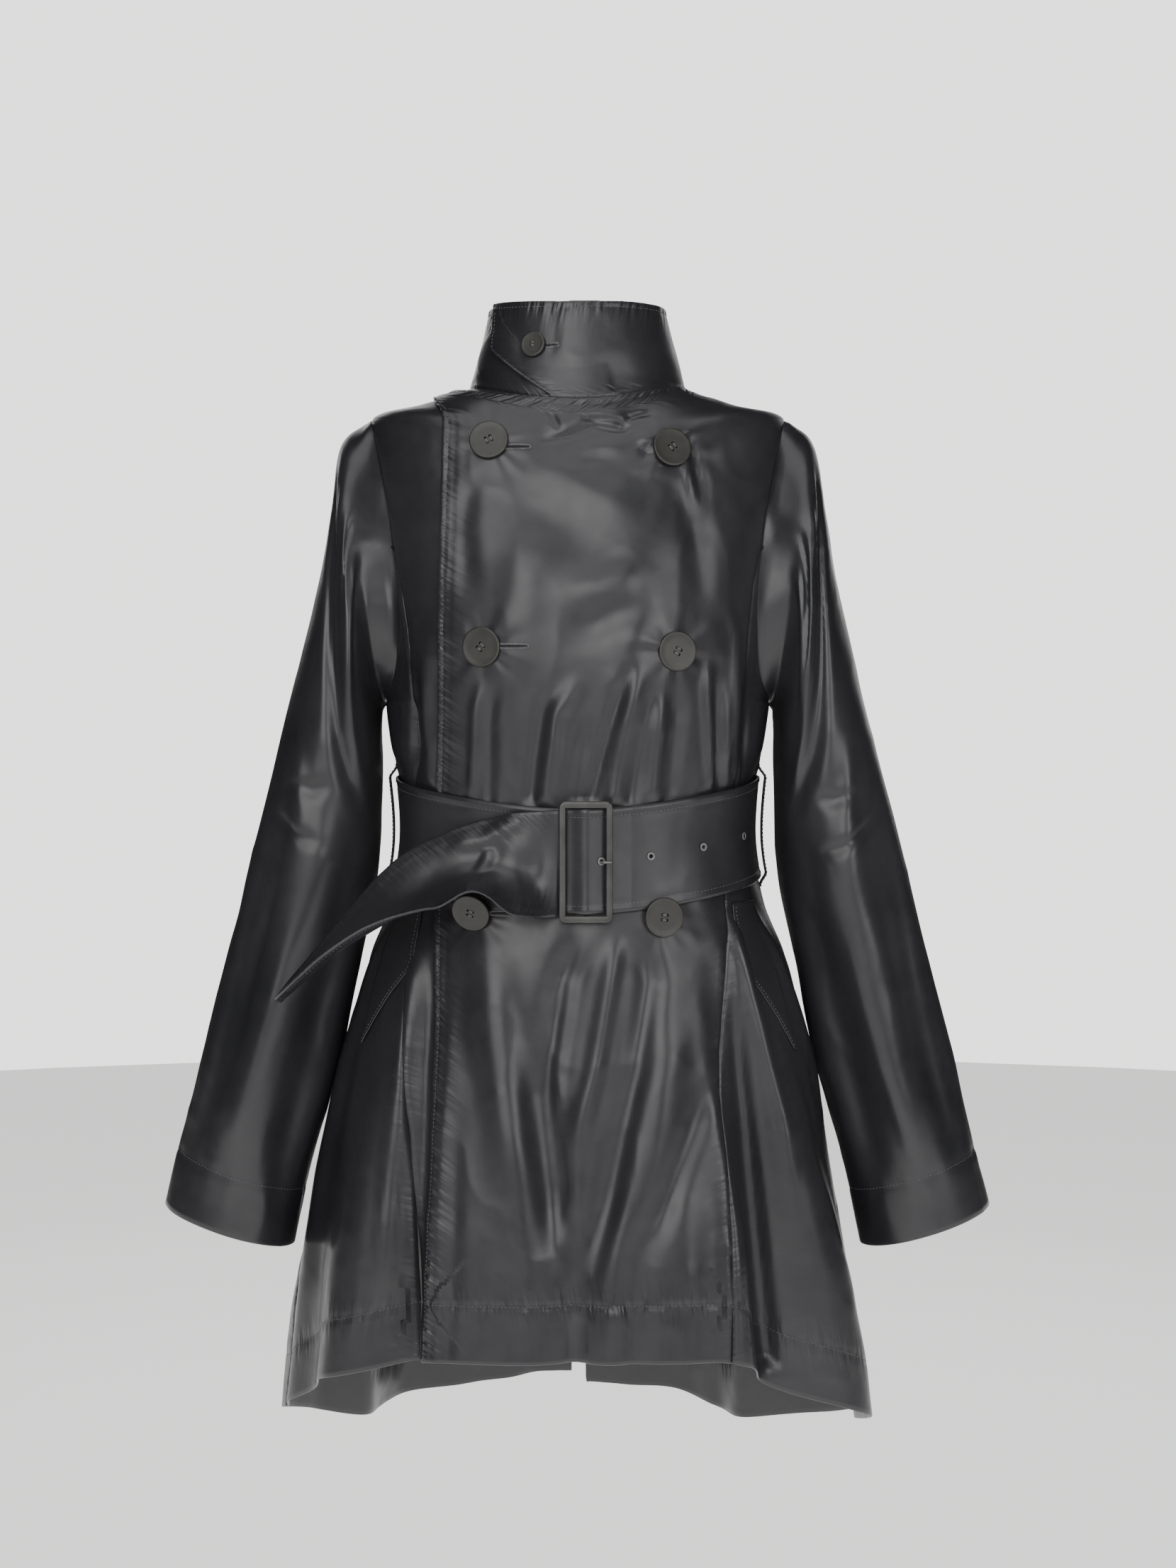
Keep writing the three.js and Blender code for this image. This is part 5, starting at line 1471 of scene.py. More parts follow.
# Finer creases of the sleeves: angle from the outer line times the chart step, and distance along.
SLEEVE_CREASES = creases(
    (((20, -30), (52, -120), (96, -230)), 6, -2.6, (0.2, 0.5)),
    (((44, -24), (70, -110), (100, -200)), 7, 2.2, (0.2, 0.4)),
    (((66, -18), (84, -90), (104, -150)), 5, -2.0, (0.2, 0.5)),
    (((92, -20), (100, -100), (112, -180)), 7, 2.6, (0.2, 0.4)),
    (((60, -250), (84, -330), (90, -430)), 10, 2.8, (0.4, 0.5)),
    (((108, -270), (92, -300), (60, -330)), 7, -2.4, (0.4, 0.5)),
    (((112, -330), (90, -350), (50, -352)), 7, -2.2, (0.4, 0.5)),
    (((78, -360), (72, -480), (78, -600)), 9, -2.4, (0.4, 0.4)),
    (((104, -400), (98, -520), (88, -650)), 10, 2.6, (0.4, 0.2)),
    (((40, -380), (48, -520), (44, -650)), 10, 2.2, (0.4, 0.2)),
    (((250, -60), (262, -180), (240, -300)), 10, 2.6, (0.3, 0.4)),
    (((290, -80), (280, -220), (262, -330)), 9, -2.6, (0.3, 0.4)),
    (((240, -320), (262, -350), (300, -360)), 8, -2.4, (0.4, 0.4)),
    (((252, -400), (262, -520), (258, -650)), 10, 2.6, (0.4, 0.2)),
    (((228, -420), (232, -540), (226, -640)), 8, -2.2, (0.4, 0.3)),
)


@dataclass
class Sleeves(ClothPart):
    """Set-in sleeves that start from the armhole's own edge."""

    square: float = 2.1
    start: float = 0.035
    length: float = 690.0
    columns: int = 112
    rings: int = 176
    cuff_line: float = 48.0
    # Height, width and reach of the gathers at the head and beside the cuff's line.
    head_gather: tuple[float, float, float] = (2.0, 13.0, 26.0)
    cuff_gather: tuple[float, float, float] = (1.3, 10.0, 16.0)
    # Depth and width of the cuff's sewn groove.
    cuff_groove: tuple[float, float] = (0.6, 2.6)

    def armhole(self) -> Array:
        """Even points round the left armhole: down its front and up its back."""
        down = np.linspace(BODY.shoulder, BODY.underarm, 500)
        front = BODY.point(BODY.front_side(down), down, 0.0)
        back = BODY.point(BODY.back_side(down), down, 0.0)[::-1]
        loop = np.concatenate([front, back[1:]])
        walked = np.concatenate([[0], np.cumsum(np.linalg.norm(np.diff(loop, axis=0), axis=1))])
        even = np.linspace(0.0, walked[-1], self.columns, endpoint=False)
        loop = np.stack([np.interp(even, walked, loop[:, axis]) for axis in range(3)], -1)
        return loop + np.array([BODY.seam_gap, 0.0, 0.0])

    def surface(self, angle: Array, along: Array) -> Array:
        """Points of the left sleeve.

        Args:
            angle: Angles from its outer line, 90 at the front.
            along: Shares of its length.

        Returns:
            The points, in millimetres.
        """
        angle, along = np.broadcast_arrays(angle, along)
        size = {column: SLEEVE_SECTIONS.read(column, along) for column in SLEEVE_SECTIONS.columns[1:]}
        outer = np.stack([size["outer_x"], np.zeros(angle.shape), size["outer_z"]], -1)
        inner = np.stack([size["inner_x"], np.zeros(angle.shape), size["inner_z"]], -1)
        half = np.linalg.norm(outer - inner, axis=-1) / 2
        depth = np.where(np.cos(np.radians(angle - RIGHT_ANGLE)) > 0, size["front"], size["back"])
        radius = section_radius(angle, depth, half, half, self.square)
        for start, start_angle, end, end_angle, width, deep in SLEEVE_FOLDS:
            share = (along - start) / (end - start)
            ends = smooth_step(0.0, 0.25, share) * (1.0 - smooth_step(0.75, 1.0, share))
            centre = start_angle + (end_angle - start_angle) * share
            radius = radius + deep * ends * bump(wrap_angle(angle - centre), width)
        radius = radius + SLEEVE_SLACK.read("depth", along) * bump(wrap_angle(angle - 180.0), 70.0)
        turn = np.radians(angle)[..., None]
        forward = size["shift"] - radius * np.sin(turn[..., 0])
        points = 0.5 * (outer + inner) + unit(outer - inner) * radius[..., None] * np.cos(turn)
        points[..., 1] += forward
        return points

    def grid(self) -> tuple[Array, Array, Array]:
        """Points of the left sleeve's grid, with its angles and places along."""
        loop = self.armhole()
        first = SLEEVE_SECTIONS.rows[0]
        centre, half = (first[2] + first[4]) / 2, (first[2] - first[4]) / 2
        start = np.degrees(np.arctan2(-loop[:, 1] / first[5], (loop[:, 2] - centre) / half))
        even = 360.0 * np.arange(self.columns) / self.columns
        along = np.linspace(0.0, 1.0, self.rings)[:, None]
        reached = np.maximum(along, self.start)
        angles = start + wrap_angle(even - start) * smooth_step(0.0, 0.5, reached)
        joined = smooth_step(0.0, self.start * 1.15, along)[..., None]
        points = loop[None] * (1.0 - joined) + self.surface(angles, reached) * joined
        return points, angles, np.broadcast_to(along, angles.shape)

    def build(self) -> None:
        """Makes both sleeves."""
        points, angles, along = self.grid()
        for side, sign in SIDES:
            placed = points[:, ::-1] if sign > 0 else points * np.array([-1.0, 1.0, 1.0])
            cloth = Cloth(placed.copy(), wrapped=True)
            turned, reached = (angles[:, ::-1], along[:, ::-1]) if sign > 0 else (angles, along)
            cloth.push(self.relief(cloth, turned, reached, sign))
            cloth.tuck(Edge.TOP, np.array([-5.0 * sign, 0.0, 0.0]))
            self.topstitch(cloth, Edge.BOTTOM, self.cuff_line)
            self.make(cloth, f"sleeve_{side}", Cut(0.36, 0.66, 0.21))

    def relief(self, cloth: Cloth, angles: Array, along: Array, sign: int) -> Array:
        """Creases of a sleeve, with the gathers of its head and its cuff.

        Args:
            cloth: Its grid.
            angles: Angle of each point from the outer line.
            along: Share of the length at each point.
            sign: 1 on the left and -1 on the right.

        Returns:
            How far each point moves out.
        """
        shift = 0.0 if sign > 0 else 9.0
        relief = crease_relief(SLEEVE_CREASES, (angles % 360.0) * 0.98 + shift, -along * self.length)
        relief += cloth_relief(cloth.points, 1.15)
        turn, reach = np.radians(angles), along * FOLD_STRETCH * self.length
        ring = np.stack([np.cos(turn) * 55, np.sin(turn) * 55, reach], -1)
        from_top, from_cuff = cloth.from_edge(Edge.TOP), cloth.from_edge(Edge.BOTTOM) - self.cuff_line
        height, width, fade = self.head_gather
        relief += height * lattice_noise(ring, width, 91 + sign) * np.exp(-from_top / fade)
        height, width, fade = self.cuff_gather
        relief += height * lattice_noise(ring, width, 95 + sign) * np.exp(-np.abs(from_cuff) / fade)
        depth, width = self.cuff_groove
        relief = relief - depth * np.exp(-((from_cuff / width) ** 2))
        return relief * smooth_step(0.0, 6.0, from_top)


COLLAR_SECTIONS = Table("rise half front back front_z side_z back_z", [
    (0, 91, 80, 62, -13, 5, 11), (0.3, 86, 76, 59, 8, 25, 33),
    (0.65, 80, 71, 59, 36, 47, 60), (1, 75, 67, 60, 65, 70, 88),
])


@dataclass
class Collar(ClothPart):
    """Stand collar, a band that laps over itself at the front."""

    over_top: float = -68.0
    over_corner: float = -61.0
    corner_rise: float = 0.44
    over_foot: float = -16.0
    under_end: float = 372.0
    merge: tuple[float, float] = (25.0, 75.0)
    columns: int = 400
    rows: int = 42
    edge_line: float = 4.5

    def surface(self, angle: Array, rise: Array) -> Array:
        """Points of the collar at some angles and shares of its height."""
        size = {column: COLLAR_SECTIONS.read(column, rise) for column in COLLAR_SECTIONS.columns[1:]}
        radius = section_radius(angle, size["half"], size["front"], size["back"], 2.0)
        turn = np.radians(angle)
        end = np.where(np.cos(turn) > 0, size["front_z"], size["back_z"])
        height = size["side_z"] + (end - size["side_z"]) * np.cos(turn) ** 2
        return np.stack([radius * np.sin(turn), -radius * np.cos(turn), height], -1)

    def point(self, angle: Array, rise: Array, lift: Array) -> Array:
        """Points of the collar moved out by a lift."""
        angle, rise = np.broadcast_arrays(np.asarray(angle, float), np.asarray(rise, float))
        across = self.surface(angle + 0.5, rise) - self.surface(angle - 0.5, rise)
        up = self.surface(angle, rise + 0.01) - self.surface(angle, rise - 0.01)
        return self.surface(angle, rise) + unit(np.cross(across, up)) * np.asarray(lift)[..., None]

    def lift(self, angle: Array) -> Array:
        """How far the lapped end stands out."""
        return BODY.overlap_lift * (1.0 - smooth_step(*self.merge, angle))

    def build(self) -> None:
        """Makes the collar."""
        rise = np.linspace(1.0, 0.0, self.rows)[:, None]
        below = np.clip(rise / self.corner_rise, 0, 1)
        above = np.clip((rise - self.corner_rise) / (1 - self.corner_rise), 0, 1)
        first = np.where(rise > self.corner_rise,
                         self.over_corner + (self.over_top - self.over_corner) * above,
                         self.over_foot + (self.over_corner - self.over_foot) * below)
        angles = first + (self.under_end - first) * np.linspace(0.0, 1.0, self.columns)[None, :]
        rise = np.broadcast_to(rise, angles.shape)
        points = self.point(angles, rise, self.lift(angles))
        points[..., 2] += BODY.seam_gap + self.lift(angles) * 0.5
        cloth = Cloth(points)
        relief = 0.5 * cloth_relief(cloth.points)
        relief += cloth.sew(Edge.TOP, self.edge_line, "collar_top")
        relief += cloth.sew(Edge.FIRST, self.edge_line, "collar_end")
        relief += 2.2 * lattice_noise(points, (38.0, 38.0, 30.0), 107)
        relief += cloth.sew(Edge.BOTTOM, 0.0, "collar_seam")
        lapped = (angles < 20.0) | (angles > 285.0)
        relief = np.where(lapped, np.clip(relief, -0.6, 0.7), relief)
        cloth.push(relief * smooth_step(0.0, 4.0, cloth.from_edge(Edge.BOTTOM)))
        cloth.tuck(Edge.BOTTOM, np.array([0.0, 0.0, -4.0]))
        self.grid = cloth
        self.topstitch(cloth, Edge.TOP, self.edge_line, 0.01, 0.99)
        self.topstitch(cloth, Edge.FIRST, self.edge_line, 0.13, 0.98)
        self.make(cloth, "collar", Cut(0.55, 0.10, 0.04))


# Each front button: its solid, its place across and its height.
FRONT_BUTTONS = (
    ("button_top_right", -71, -49.2), ("button_top_left", 75.8, -54.8),
    ("button_middle_right", -75.1, -215.4), ("button_middle_left", 78.9, -218.8),
    ("button_lower_right", -81, -429), ("button_lower_left", 67.9, -433),
)
THROUGH_BUCKLE = Table("x stand", [
    (-11.2, 3.8), (-4, 5.4), (5, 9.1), (9, 9.1), (17, 6.8), (23, 4.8), (31, 3.0), (42, 1.3),
])
TAIL_SECTIONS = Table("index x y z lean curl", [
    (0, -13.2, -125.6, -388.4, -1, 0), (1, -17, -126, -388.5, -1, 0), (2, -30, -131, -389, 5, 1),
    (3, -50, -138.5, -389.5, 20, 3), (4, -72, -141, -390, 36, 6), (5, -96, -144, -393, 47, 9),
    (6, -122, -144, -400, 56, 12), (7, -146, -146, -412, 66, 14), (8, -170, -148, -429, 77, 13),
    (9, -195, -150, -451, 84, 10), (10, -216, -151, -472, 87, 8), (11, -236, -152, -493, 88, 6),
])
# Creases of the loose end: distance from the buckle, and across from its lower edge.
TAIL_CREASES = creases(
    (((6, 50), (30, 46), (58, 36), (86, 34), (120, 36), (170, 30)), 17, 5.0, (0.12, 0.4), 0.35),
    (((96, 10), (62, 16), (46, 10), (26, 6)), 8, -3.6, (0.3, 0.3), 0.5),
    (((56, 24), (62, 36), (72, 44)), 6, -2.4, (0.1, 0.5), 0.8),
    (((110, 60), (150, 52), (200, 40)), 8, 1.8, (0.4, 0.4)),
)


@dataclass
class Belt(ClothPart):
    """The belt round the waist and through the buckle, and its loose end."""

    thickness: float = 2.0
    width: float = 84.0
    lift_off: float = 1.3
    side_height: float = -364.0
    droop: float = 23.0
    foot_angle: float = 362.2
    off_fronts: tuple[float, float] = (60.0, 84.0)
    eyelet_xs: tuple[float, ...] = (18.6, 57.6, 99.0, 133.0)
    eyelet_inner: float = 1.7
    edge_line: float = 6.2
    tip_start: float = 0.86
    tip_share: float = 0.42
    notch_x: float = -80.0
    notch_half: float = 33.0
    notch_height: float = 12.5

    def height(self, angle: Array) -> Array:
        """Height of the belt's middle."""
        return self.side_height - self.droop * np.maximum(0.0, np.cos(np.radians(angle))) ** BELT_CURVE

    def point(self, angle: Array, height: Array, lift: Array) -> Array:
        """Points off the coat's plain form."""
        angle, height = np.broadcast_arrays(angle, height)
        down = BODY.down_at_height(angle, height)
        normal = BODY.normal(angle, down, False)
        return BODY.surface(angle, down, False) + normal * np.asarray(lift)[..., None]

    def lift(self, angle: Array) -> Array:
        """Stand of the belt's inner face off the coat."""
        away = smooth_step(*self.off_fronts, np.abs(wrap_angle(angle)))
        fronts = BODY.overlap_lift * (1.0 - away)
        x = BODY.surface(angle, np.full(np.shape(angle), BODY.waist - self.width / 2), False)[..., 0]
        through = THROUGH_BUCKLE.read("stand", x)
        return fronts + np.where(angle > RIGHT_ANGLE, self.lift_off, through)

    def angle_at(self, x: float) -> float:
        """Angle of the belt's middle at a half-width."""
        return float(BODY.front_angle(np.array(x), np.array(BODY.waist - self.width / 2)))

    def build(self) -> None:
        """Makes the belt and its loose end."""
        first = self.angle_at(THROUGH_BUCKLE.rows[0, 0])
        angles = np.concatenate([np.linspace(first, 24.0, 46)[:-1], np.linspace(24.0, self.foot_angle, 300)])
        angles = angles[None, :]
        height = self.height(angles) + np.linspace(0.5, -0.5, 30)[:, None] * self.width
        points = self.point(angles, height, self.lift(angles) + self.thickness)
        cloth = Cloth(points)
        angles = np.broadcast_to(angles, points.shape[:2])
        relief = 0.45 * cloth_relief(points)
        relief += cloth.sew(Edge.TOP, self.edge_line, "belt_top")
        relief += cloth.sew(Edge.BOTTOM, self.edge_line, "belt_foot")
        broad = lattice_noise(np.stack([cloth.across, cloth.down * 0.3], -1), 32.0, 115)
        loose = smooth_step(26.0, 40.0, angles)
        relief = np.clip(relief + 0.7 * broad, -1.1, 1.4) * (0.35 + 0.65 * loose)
        last = angles > 330.0
        relief = np.where(last, np.clip(relief, -0.8, 0.8), relief)
        cloth.push(relief)
        for edge in (Edge.TOP, Edge.BOTTOM):
            self.topstitch(cloth, edge, self.edge_line)
        piece = cloth.piece("belt_cloth", self.thickness)
        old, piece.data = piece.data, drill(piece, self.eyelet_holes(cloth, angles))
        bpy.data.meshes.remove(old)
        finish_piece(piece, self.cloth, "cloth", "belt")
        self.build_tail()

    def eyelet_holes(self, cloth: Cloth, angles: Array) -> list[tuple[Array, list[list[int]]]]:
        """Shapes of the holes under the eyelets.

        Args:
            cloth: The belt's grid.
            angles: The angle of each point of the grid.

        Returns:
            The points and faces of each.
        """
        middle = len(angles) // 2
        front, normals = angles[0, : angles.shape[1] // 2], cloth.normals()[middle]
        holes = []
        for x in self.eyelet_xs:
            column = int(np.argmin(np.abs(front - self.angle_at(x))))
            level = 0.5 * (cloth.points[middle - 1, column] + cloth.points[middle, column])
            way = normals[column] * 3 * self.thickness
            holes.append(tube(np.linspace(level - way, level + way, 4), self.eyelet_inner, 20))
        return holes

    def tail_point(self, share: Array, across: Array, lift: float) -> Array:
        """Points of the loose end.

        Args:
            share: Shares of its length.
            across: Places across, from -1 at its lower edge to 1.
            lift: How far the points lie off its middle face.

        Returns:
            The points, in millimetres.
        """
        share, across = np.broadcast_arrays(share, across)
        place = share * (len(TAIL_SECTIONS.rows) - 1)
        read = {column: TAIL_SECTIONS.read(column, place) for column in TAIL_SECTIONS.columns[1:]}
        centre = np.stack([read["x"], read["y"], read["z"]], -1)
        tangent = unit(np.gradient(centre, axis=1))
        lean = np.radians(read["lean"])[..., None]
        forward = unit(np.array([0.0, -1.0, 0.0]) + tangent * tangent[..., 1:2])
        up = np.cross(tangent, forward)
        wide = up * np.cos(lean) + forward * np.sin(lean)
        face = forward * np.cos(lean) - up * np.sin(lean)
        tip = np.clip((share - self.tip_start) / (1 - self.tip_start), 0, 1)
        width = self.width * (1 - (1 - self.tip_share) * tip**3)
        curl = lift - read["curl"] * (1 - across**2)
        return centre + wide * (width / 2 * across)[..., None] + face * curl[..., None]

    def build_tail(self) -> None:
        """Makes the loose end."""
        across, share = np.linspace(1, -1, 34)[:, None], np.linspace(1, 0, 120)[None, :]
        cloth = Cloth(self.tail_point(share, across, self.thickness / 2))
        from_buckle = cloth.from_edge(Edge.LAST)
        relief = crease_relief(TAIL_CREASES, from_buckle, cloth.from_edge(Edge.BOTTOM))
        relief += 0.6 * cloth_relief(cloth.points)
        relief += cloth.sew(Edge.TOP, self.edge_line, "tail_top")
        relief += cloth.sew(Edge.BOTTOM, self.edge_line, "tail_foot")
        cloth.push(relief * smooth_step(10.0, 34.0, from_buckle))
        over_button = bump(cloth.points[..., 0] - self.notch_x, self.notch_half)
        cloth.points[..., 2] += self.notch_height * over_button * smooth_step(-0.1, 1.0, across)
        self.topstitch(cloth, Edge.TOP, self.edge_line, 0.05)
        self.topstitch(cloth, Edge.BOTTOM, self.edge_line, 0.05)
        self.topstitch(cloth, Edge.FIRST, self.edge_line, 0.12, 0.88)
        self.make(cloth, "belt_tail", Cut(0.27, 0.084))


@dataclass
class BeltLoops(ClothPart):
    """The two belt loops over the side seams."""

    width: float = 8.0
    half_height: float = 52.0
    height: float = -364.0
    lift: float = 1.8
    stand: float = 7.5
    edge_line: float = 1.4
    half_angle_spare: float = 0.3

    def build(self) -> None:
        """Makes both loops."""
        side_angle = np.array(RIGHT_ANGLE)
        middle = BODY.down_at_height(side_angle, np.array(self.height))
        down = np.linspace(middle - self.half_height, middle + self.half_height, 60)[:, None]
        half = self.half_angle_spare + BODY.gap_angle(side_angle, middle, self.width / 2)
        for side, sign in SIDES:
            across = sign * RIGHT_ANGLE + np.linspace(-half, half, 9)[None, :]
            angles, rows = np.broadcast_arrays(across, down)
            share = np.abs(rows - middle) / self.half_height
            lift = self.lift + self.stand * (1.0 - smooth_step(0.8, 1.0, share))
            cloth = Cloth(BODY.point(angles, rows, lift))
            cloth.push(0.3 * cloth_relief(cloth.points))
            self.topstitch(cloth, Edge.FIRST, self.edge_line)
            self.topstitch(cloth, Edge.LAST, self.edge_line)
            self.make(cloth, f"belt_loop_{side}", Cut(0.012, 0.11, 0.0011))


@dataclass
class PocketWelts(ClothPart):
    """Slanted pocket welts on the side fronts, below the belt."""

    thickness: float = 1.2
    outline: tuple[tuple[float, float], ...] = ((-24, -470), (-23.4, -478), (-3, -513), (17, -548))
    top: tuple[float, float] = (-13.0, -424.0)
    foot_height: float = -546.0
    outer_line: float = 16.0
    edge_line: float = 3.0
    lift: float = 1.9
    angle: float = 64.0

    def build(self) -> None:
        """Makes both welts."""
        heights = np.linspace(self.top[1], self.foot_height, 60)[:, None]
        edge = np.array((self.top,) + self.outline)
        left = np.interp(-heights, -edge[:, 1], edge[:, 0])
        for side, sign in SIDES:
            across = left + (self.outer_line - left) * np.linspace(0.0, 1.0, 22)[None, :]
            height = np.broadcast_to(heights, across.shape)
            angle, down = self.place(across, height)
            if sign < 0:
                angle, down = -angle[:, ::-1], down[:, ::-1]
            cloth = Cloth(BODY.point(angle, down, np.full(angle.shape, self.lift)))
            relief = np.maximum(0.35 * cloth_relief(cloth.points), -0.4)
            edge_side = Edge.FIRST if sign > 0 else Edge.LAST
            cloth.push(relief + cloth.sew(edge_side, self.edge_line, "welt"))
            self.topstitch(cloth, edge_side, self.edge_line, 0.04, 0.97)
            self.make(cloth, f"pocket_{side}", Cut(0.04, 0.13, 0.0036))

    def place(self, across: Array, height: Array) -> tuple[Array, Array]:
        """Angle and distance down of points seen square on at the welt's own angle.

        Args:
            across: Places across, as seen along the angle.
            height: Heights.

        Returns:
            Their angles and their distances down, on the left.
        """
        angle = np.full(across.shape, self.angle)
        for _ in range(12):
            down = BODY.down_at_height(angle, height)
            radius = np.linalg.norm(BODY.surface(angle, down)[..., :2], axis=-1)
            angle = self.angle + np.degrees(np.arcsin(np.clip(across / radius, -1, 1)))
        return angle, down


def surface_at(cloth: Cloth, x: Array, z: Array) -> tuple[Array, Array]:
    """Points of a cloth's face, as seen square on from the front.

    Args:
        cloth: The cloth.
        x: Places across.
        z: Heights.

    Returns:
        The points and the outward directions there.
    """
    points, normals = cloth.points.reshape(-1, 3), cloth.normals().reshape(-1, 3)
    front = np.where(normals[:, 1] < -0.2, 0.0, 1e6)
    near = [int(np.argmin((points[:, 0] - a) ** 2 + (points[:, 2] - b) ** 2 + front)) for a, b in zip(x, z)]
    base, out = points[near], normals[near]
    depth = base[:, 1] - (out[:, 0] * (x - base[:, 0]) + out[:, 2] * (z - base[:, 2])) / out[:, 1]
    return np.stack([x, depth, z], -1), out


@dataclass
class Buttonholes:
    """Sewn buttonholes: across and height of their first end, and length."""

    shadow: Material
    sewing: Sewing
    half_width: float = 1.8
    stitch_lift: float = 0.3
    slit_lift: float = 0.1
    slit_half: float = 0.75
    front: tuple[tuple[float, float, float], ...] = (
        (-64.0, -53.5, 26.5), (-66.0, -215.0, 27.5), (-70.0, -429.0, 27.0))
    collar: tuple[float, float, float] = (-36.0, 31.3, 21.0)

    def build(self, over: Cloth, collar: Cloth) -> None:
        """Makes the sewn edges and the dark slits.

        Args:
            over: Cloth of the over front.
            collar: Cloth of the collar.
        """
        holes = [(over, hole) for hole in self.front] + [(collar, self.collar)]
        for order, (cloth, (x, z, length)) in enumerate(holes):
            turn = np.linspace(0.0, 2.0 * np.pi, 90)
            across = np.clip(1.04 * np.cos(turn), -1, 1) * length / 2 + x + length / 2
            aside = self.half_width * np.sign(np.sin(turn)) * np.abs(np.sin(turn)) ** 0.4
            edge, out = surface_at(cloth, across, z + aside)
            self.sewing.add(Stitch.HOLE, (edge + out * self.stitch_lift, out))
            slit_x = x + np.linspace(0.6, length - 0.6, 24)
            middle, out = surface_at(cloth, slit_x, np.full(24, z))
            self.slit(f"buttonhole_slit_{order + 1}", middle + out * self.slit_lift)

    def slit(self, name: str, path: Array) -> None:
        """Makes the dark opening between the sewn edges."""
        width = self.slit_half * np.sin(np.linspace(0.12, np.pi - 0.12, len(path))) ** 0.3
        finish_piece(make_piece(name, *tube(path, width, 10)), self.shadow, "cloth")


@dataclass
class Buttons:
    """Round buttons with a rim, four holes and crossed thread."""

    finish: Material
    thread: Material
    sides: int = 72
    hole_radius: float = 1.2
    hole_place: float = 2.0
    # Radius and thickness of the large buttons and of the collar's.
    large: tuple[float, float] = (16.0, 3.6)
    small: tuple[float, float] = (10.5, 3.0)
    # The rim's section: how far in, and the share of the thickness.
    rim: tuple[tuple[float, float], ...] = (
        (0.9, 0.12), (0.15, 0.3), (0.0, 0.45), (0.0, 0.72), (0.2, 0.88), (0.7, 0.98), (1.3, 1.0), (2.0, 0.96))
    strand_radius: float = 0.24
    strand_apart: float = 0.32
    sharp_angle: float = 40.0

    def disc(self, radius: float, thickness: float, name: str) -> Mesh:
        """Makes the mesh of a button, facing up from the origin.

        Args:
            radius: Its radius.
            thickness: Its thickness.
            name: Name of the mesh.

        Returns:
            The mesh.
        """
        profile = [(0, 0), (radius * 0.84, 0)]
        profile += [(radius - inset, up * thickness) for inset, up in self.rim]
        profile += [(radius * 0.6, 0.93 * thickness), (0, 0.92 * thickness)]
        button = make_piece(name, *lathe(profile, self.sides))
        share, holes = radius / self.large[0], []
        for x, y in ((1, 1), (1, -1), (-1, 1), (-1, -1)):
            centre = np.array([x, y, 0.0]) * self.hole_place * share
            line = centre + np.linspace([0, 0, -3.0], [0, 0, thickness + 3.0], 4)
            holes.append(tube(line, self.hole_radius * share, 16))
        mesh = drill(button, holes)
        bpy.data.objects.remove(button)
        return mesh

    def threads(self, radius: float, thickness: float) -> tuple[Array, list[list[int]]]:
        """Makes the thread that holds a button, as bent strands through its holes.

        Args:
            radius: The button's radius.
            thickness: Its thickness.

        Returns:
            The points and faces, facing up from the origin.
        """
        place = self.hole_place * radius / self.large[0]
        turn = np.linspace(0.0, np.pi, 9)
        height = thickness * (0.62 + 0.4 * np.sin(turn) ** 0.5)
        strands = []
        for side in (-place, place):
            for aside in (-self.strand_apart, 0.0, self.strand_apart):
                path = np.stack([np.full(turn.shape, side + aside), -place * np.cos(turn), height], -1)
                strands.append(tube(path, self.strand_radius, 8))
        return join(strands)

    def build(self) -> None:
        """Makes each button where its solid is."""
        shapes = {}
        names = [name for name, *_ in FRONT_BUTTONS] + ["button_collar"]
        for order, name in enumerate(names):
            size = self.small if name == "button_collar" else self.large
            if size not in shapes:
                shapes[size] = self.disc(*size, "button_disc")
            seat, out = disc_place(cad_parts[name])
            spin = math.radians(28.0 + 11.0 * order)
            level = unit(np.cross([0.0, 0.0, 1.0], out))
            rise = np.cross(out, level)
            turned = np.stack([level * math.cos(spin) + rise * math.sin(spin),
                               rise * math.cos(spin) - level * math.sin(spin), out])
            mesh = shapes[size].copy()
            mesh.name = name + "_disc"
            place_mesh(mesh, turned, seat)
            disc = bpy.data.objects.new(name + "_disc", mesh)
            bpy.context.scene.collection.objects.link(disc)
            mesh.set_sharp_from_angle(angle=math.radians(self.sharp_angle))
            finish_piece(disc, self.finish, "button", name)
            points, faces = self.threads(*size)
            piece = make_piece(name + "_thread", points @ turned + seat, faces)
            finish_piece(piece, self.thread, "cloth")


def disc_place(node: Piece) -> tuple[Array, Array]:
    """Foot centre and facing direction of a round solid.

    Args:
        node: The solid.

    Returns:
        The foot's centre in millimetres and the direction that it faces.
    """
    points = np.empty(len(node.data.vertices) * 3)
    node.data.vertices.foreach_get("co", points)
    points = np.unique(np.round(points.reshape(-1, 3) / MM, 3), axis=0)
    middle = 0.5 * (points.max(axis=0) + points.min(axis=0))
    _, _, ways = np.linalg.svd(points - points.mean(axis=0))
    out = ways[2]
    outward = np.array([middle[0], middle[1], 0.0])
    out = out if out @ outward > 0 else -out
    return middle + out * ((points - middle) @ out).min(), out


def place_mesh(mesh: Mesh, turned: Array, seat: Array) -> None:
    """Turns a mesh's points and sets them at a seat."""
    points = np.empty(len(mesh.vertices) * 3)
    mesh.vertices.foreach_get("co", points)
    placed = (points.reshape(-1, 3) / MM) @ turned + seat
    mesh.vertices.foreach_set("co", (placed * MM).ravel())
    mesh.update()


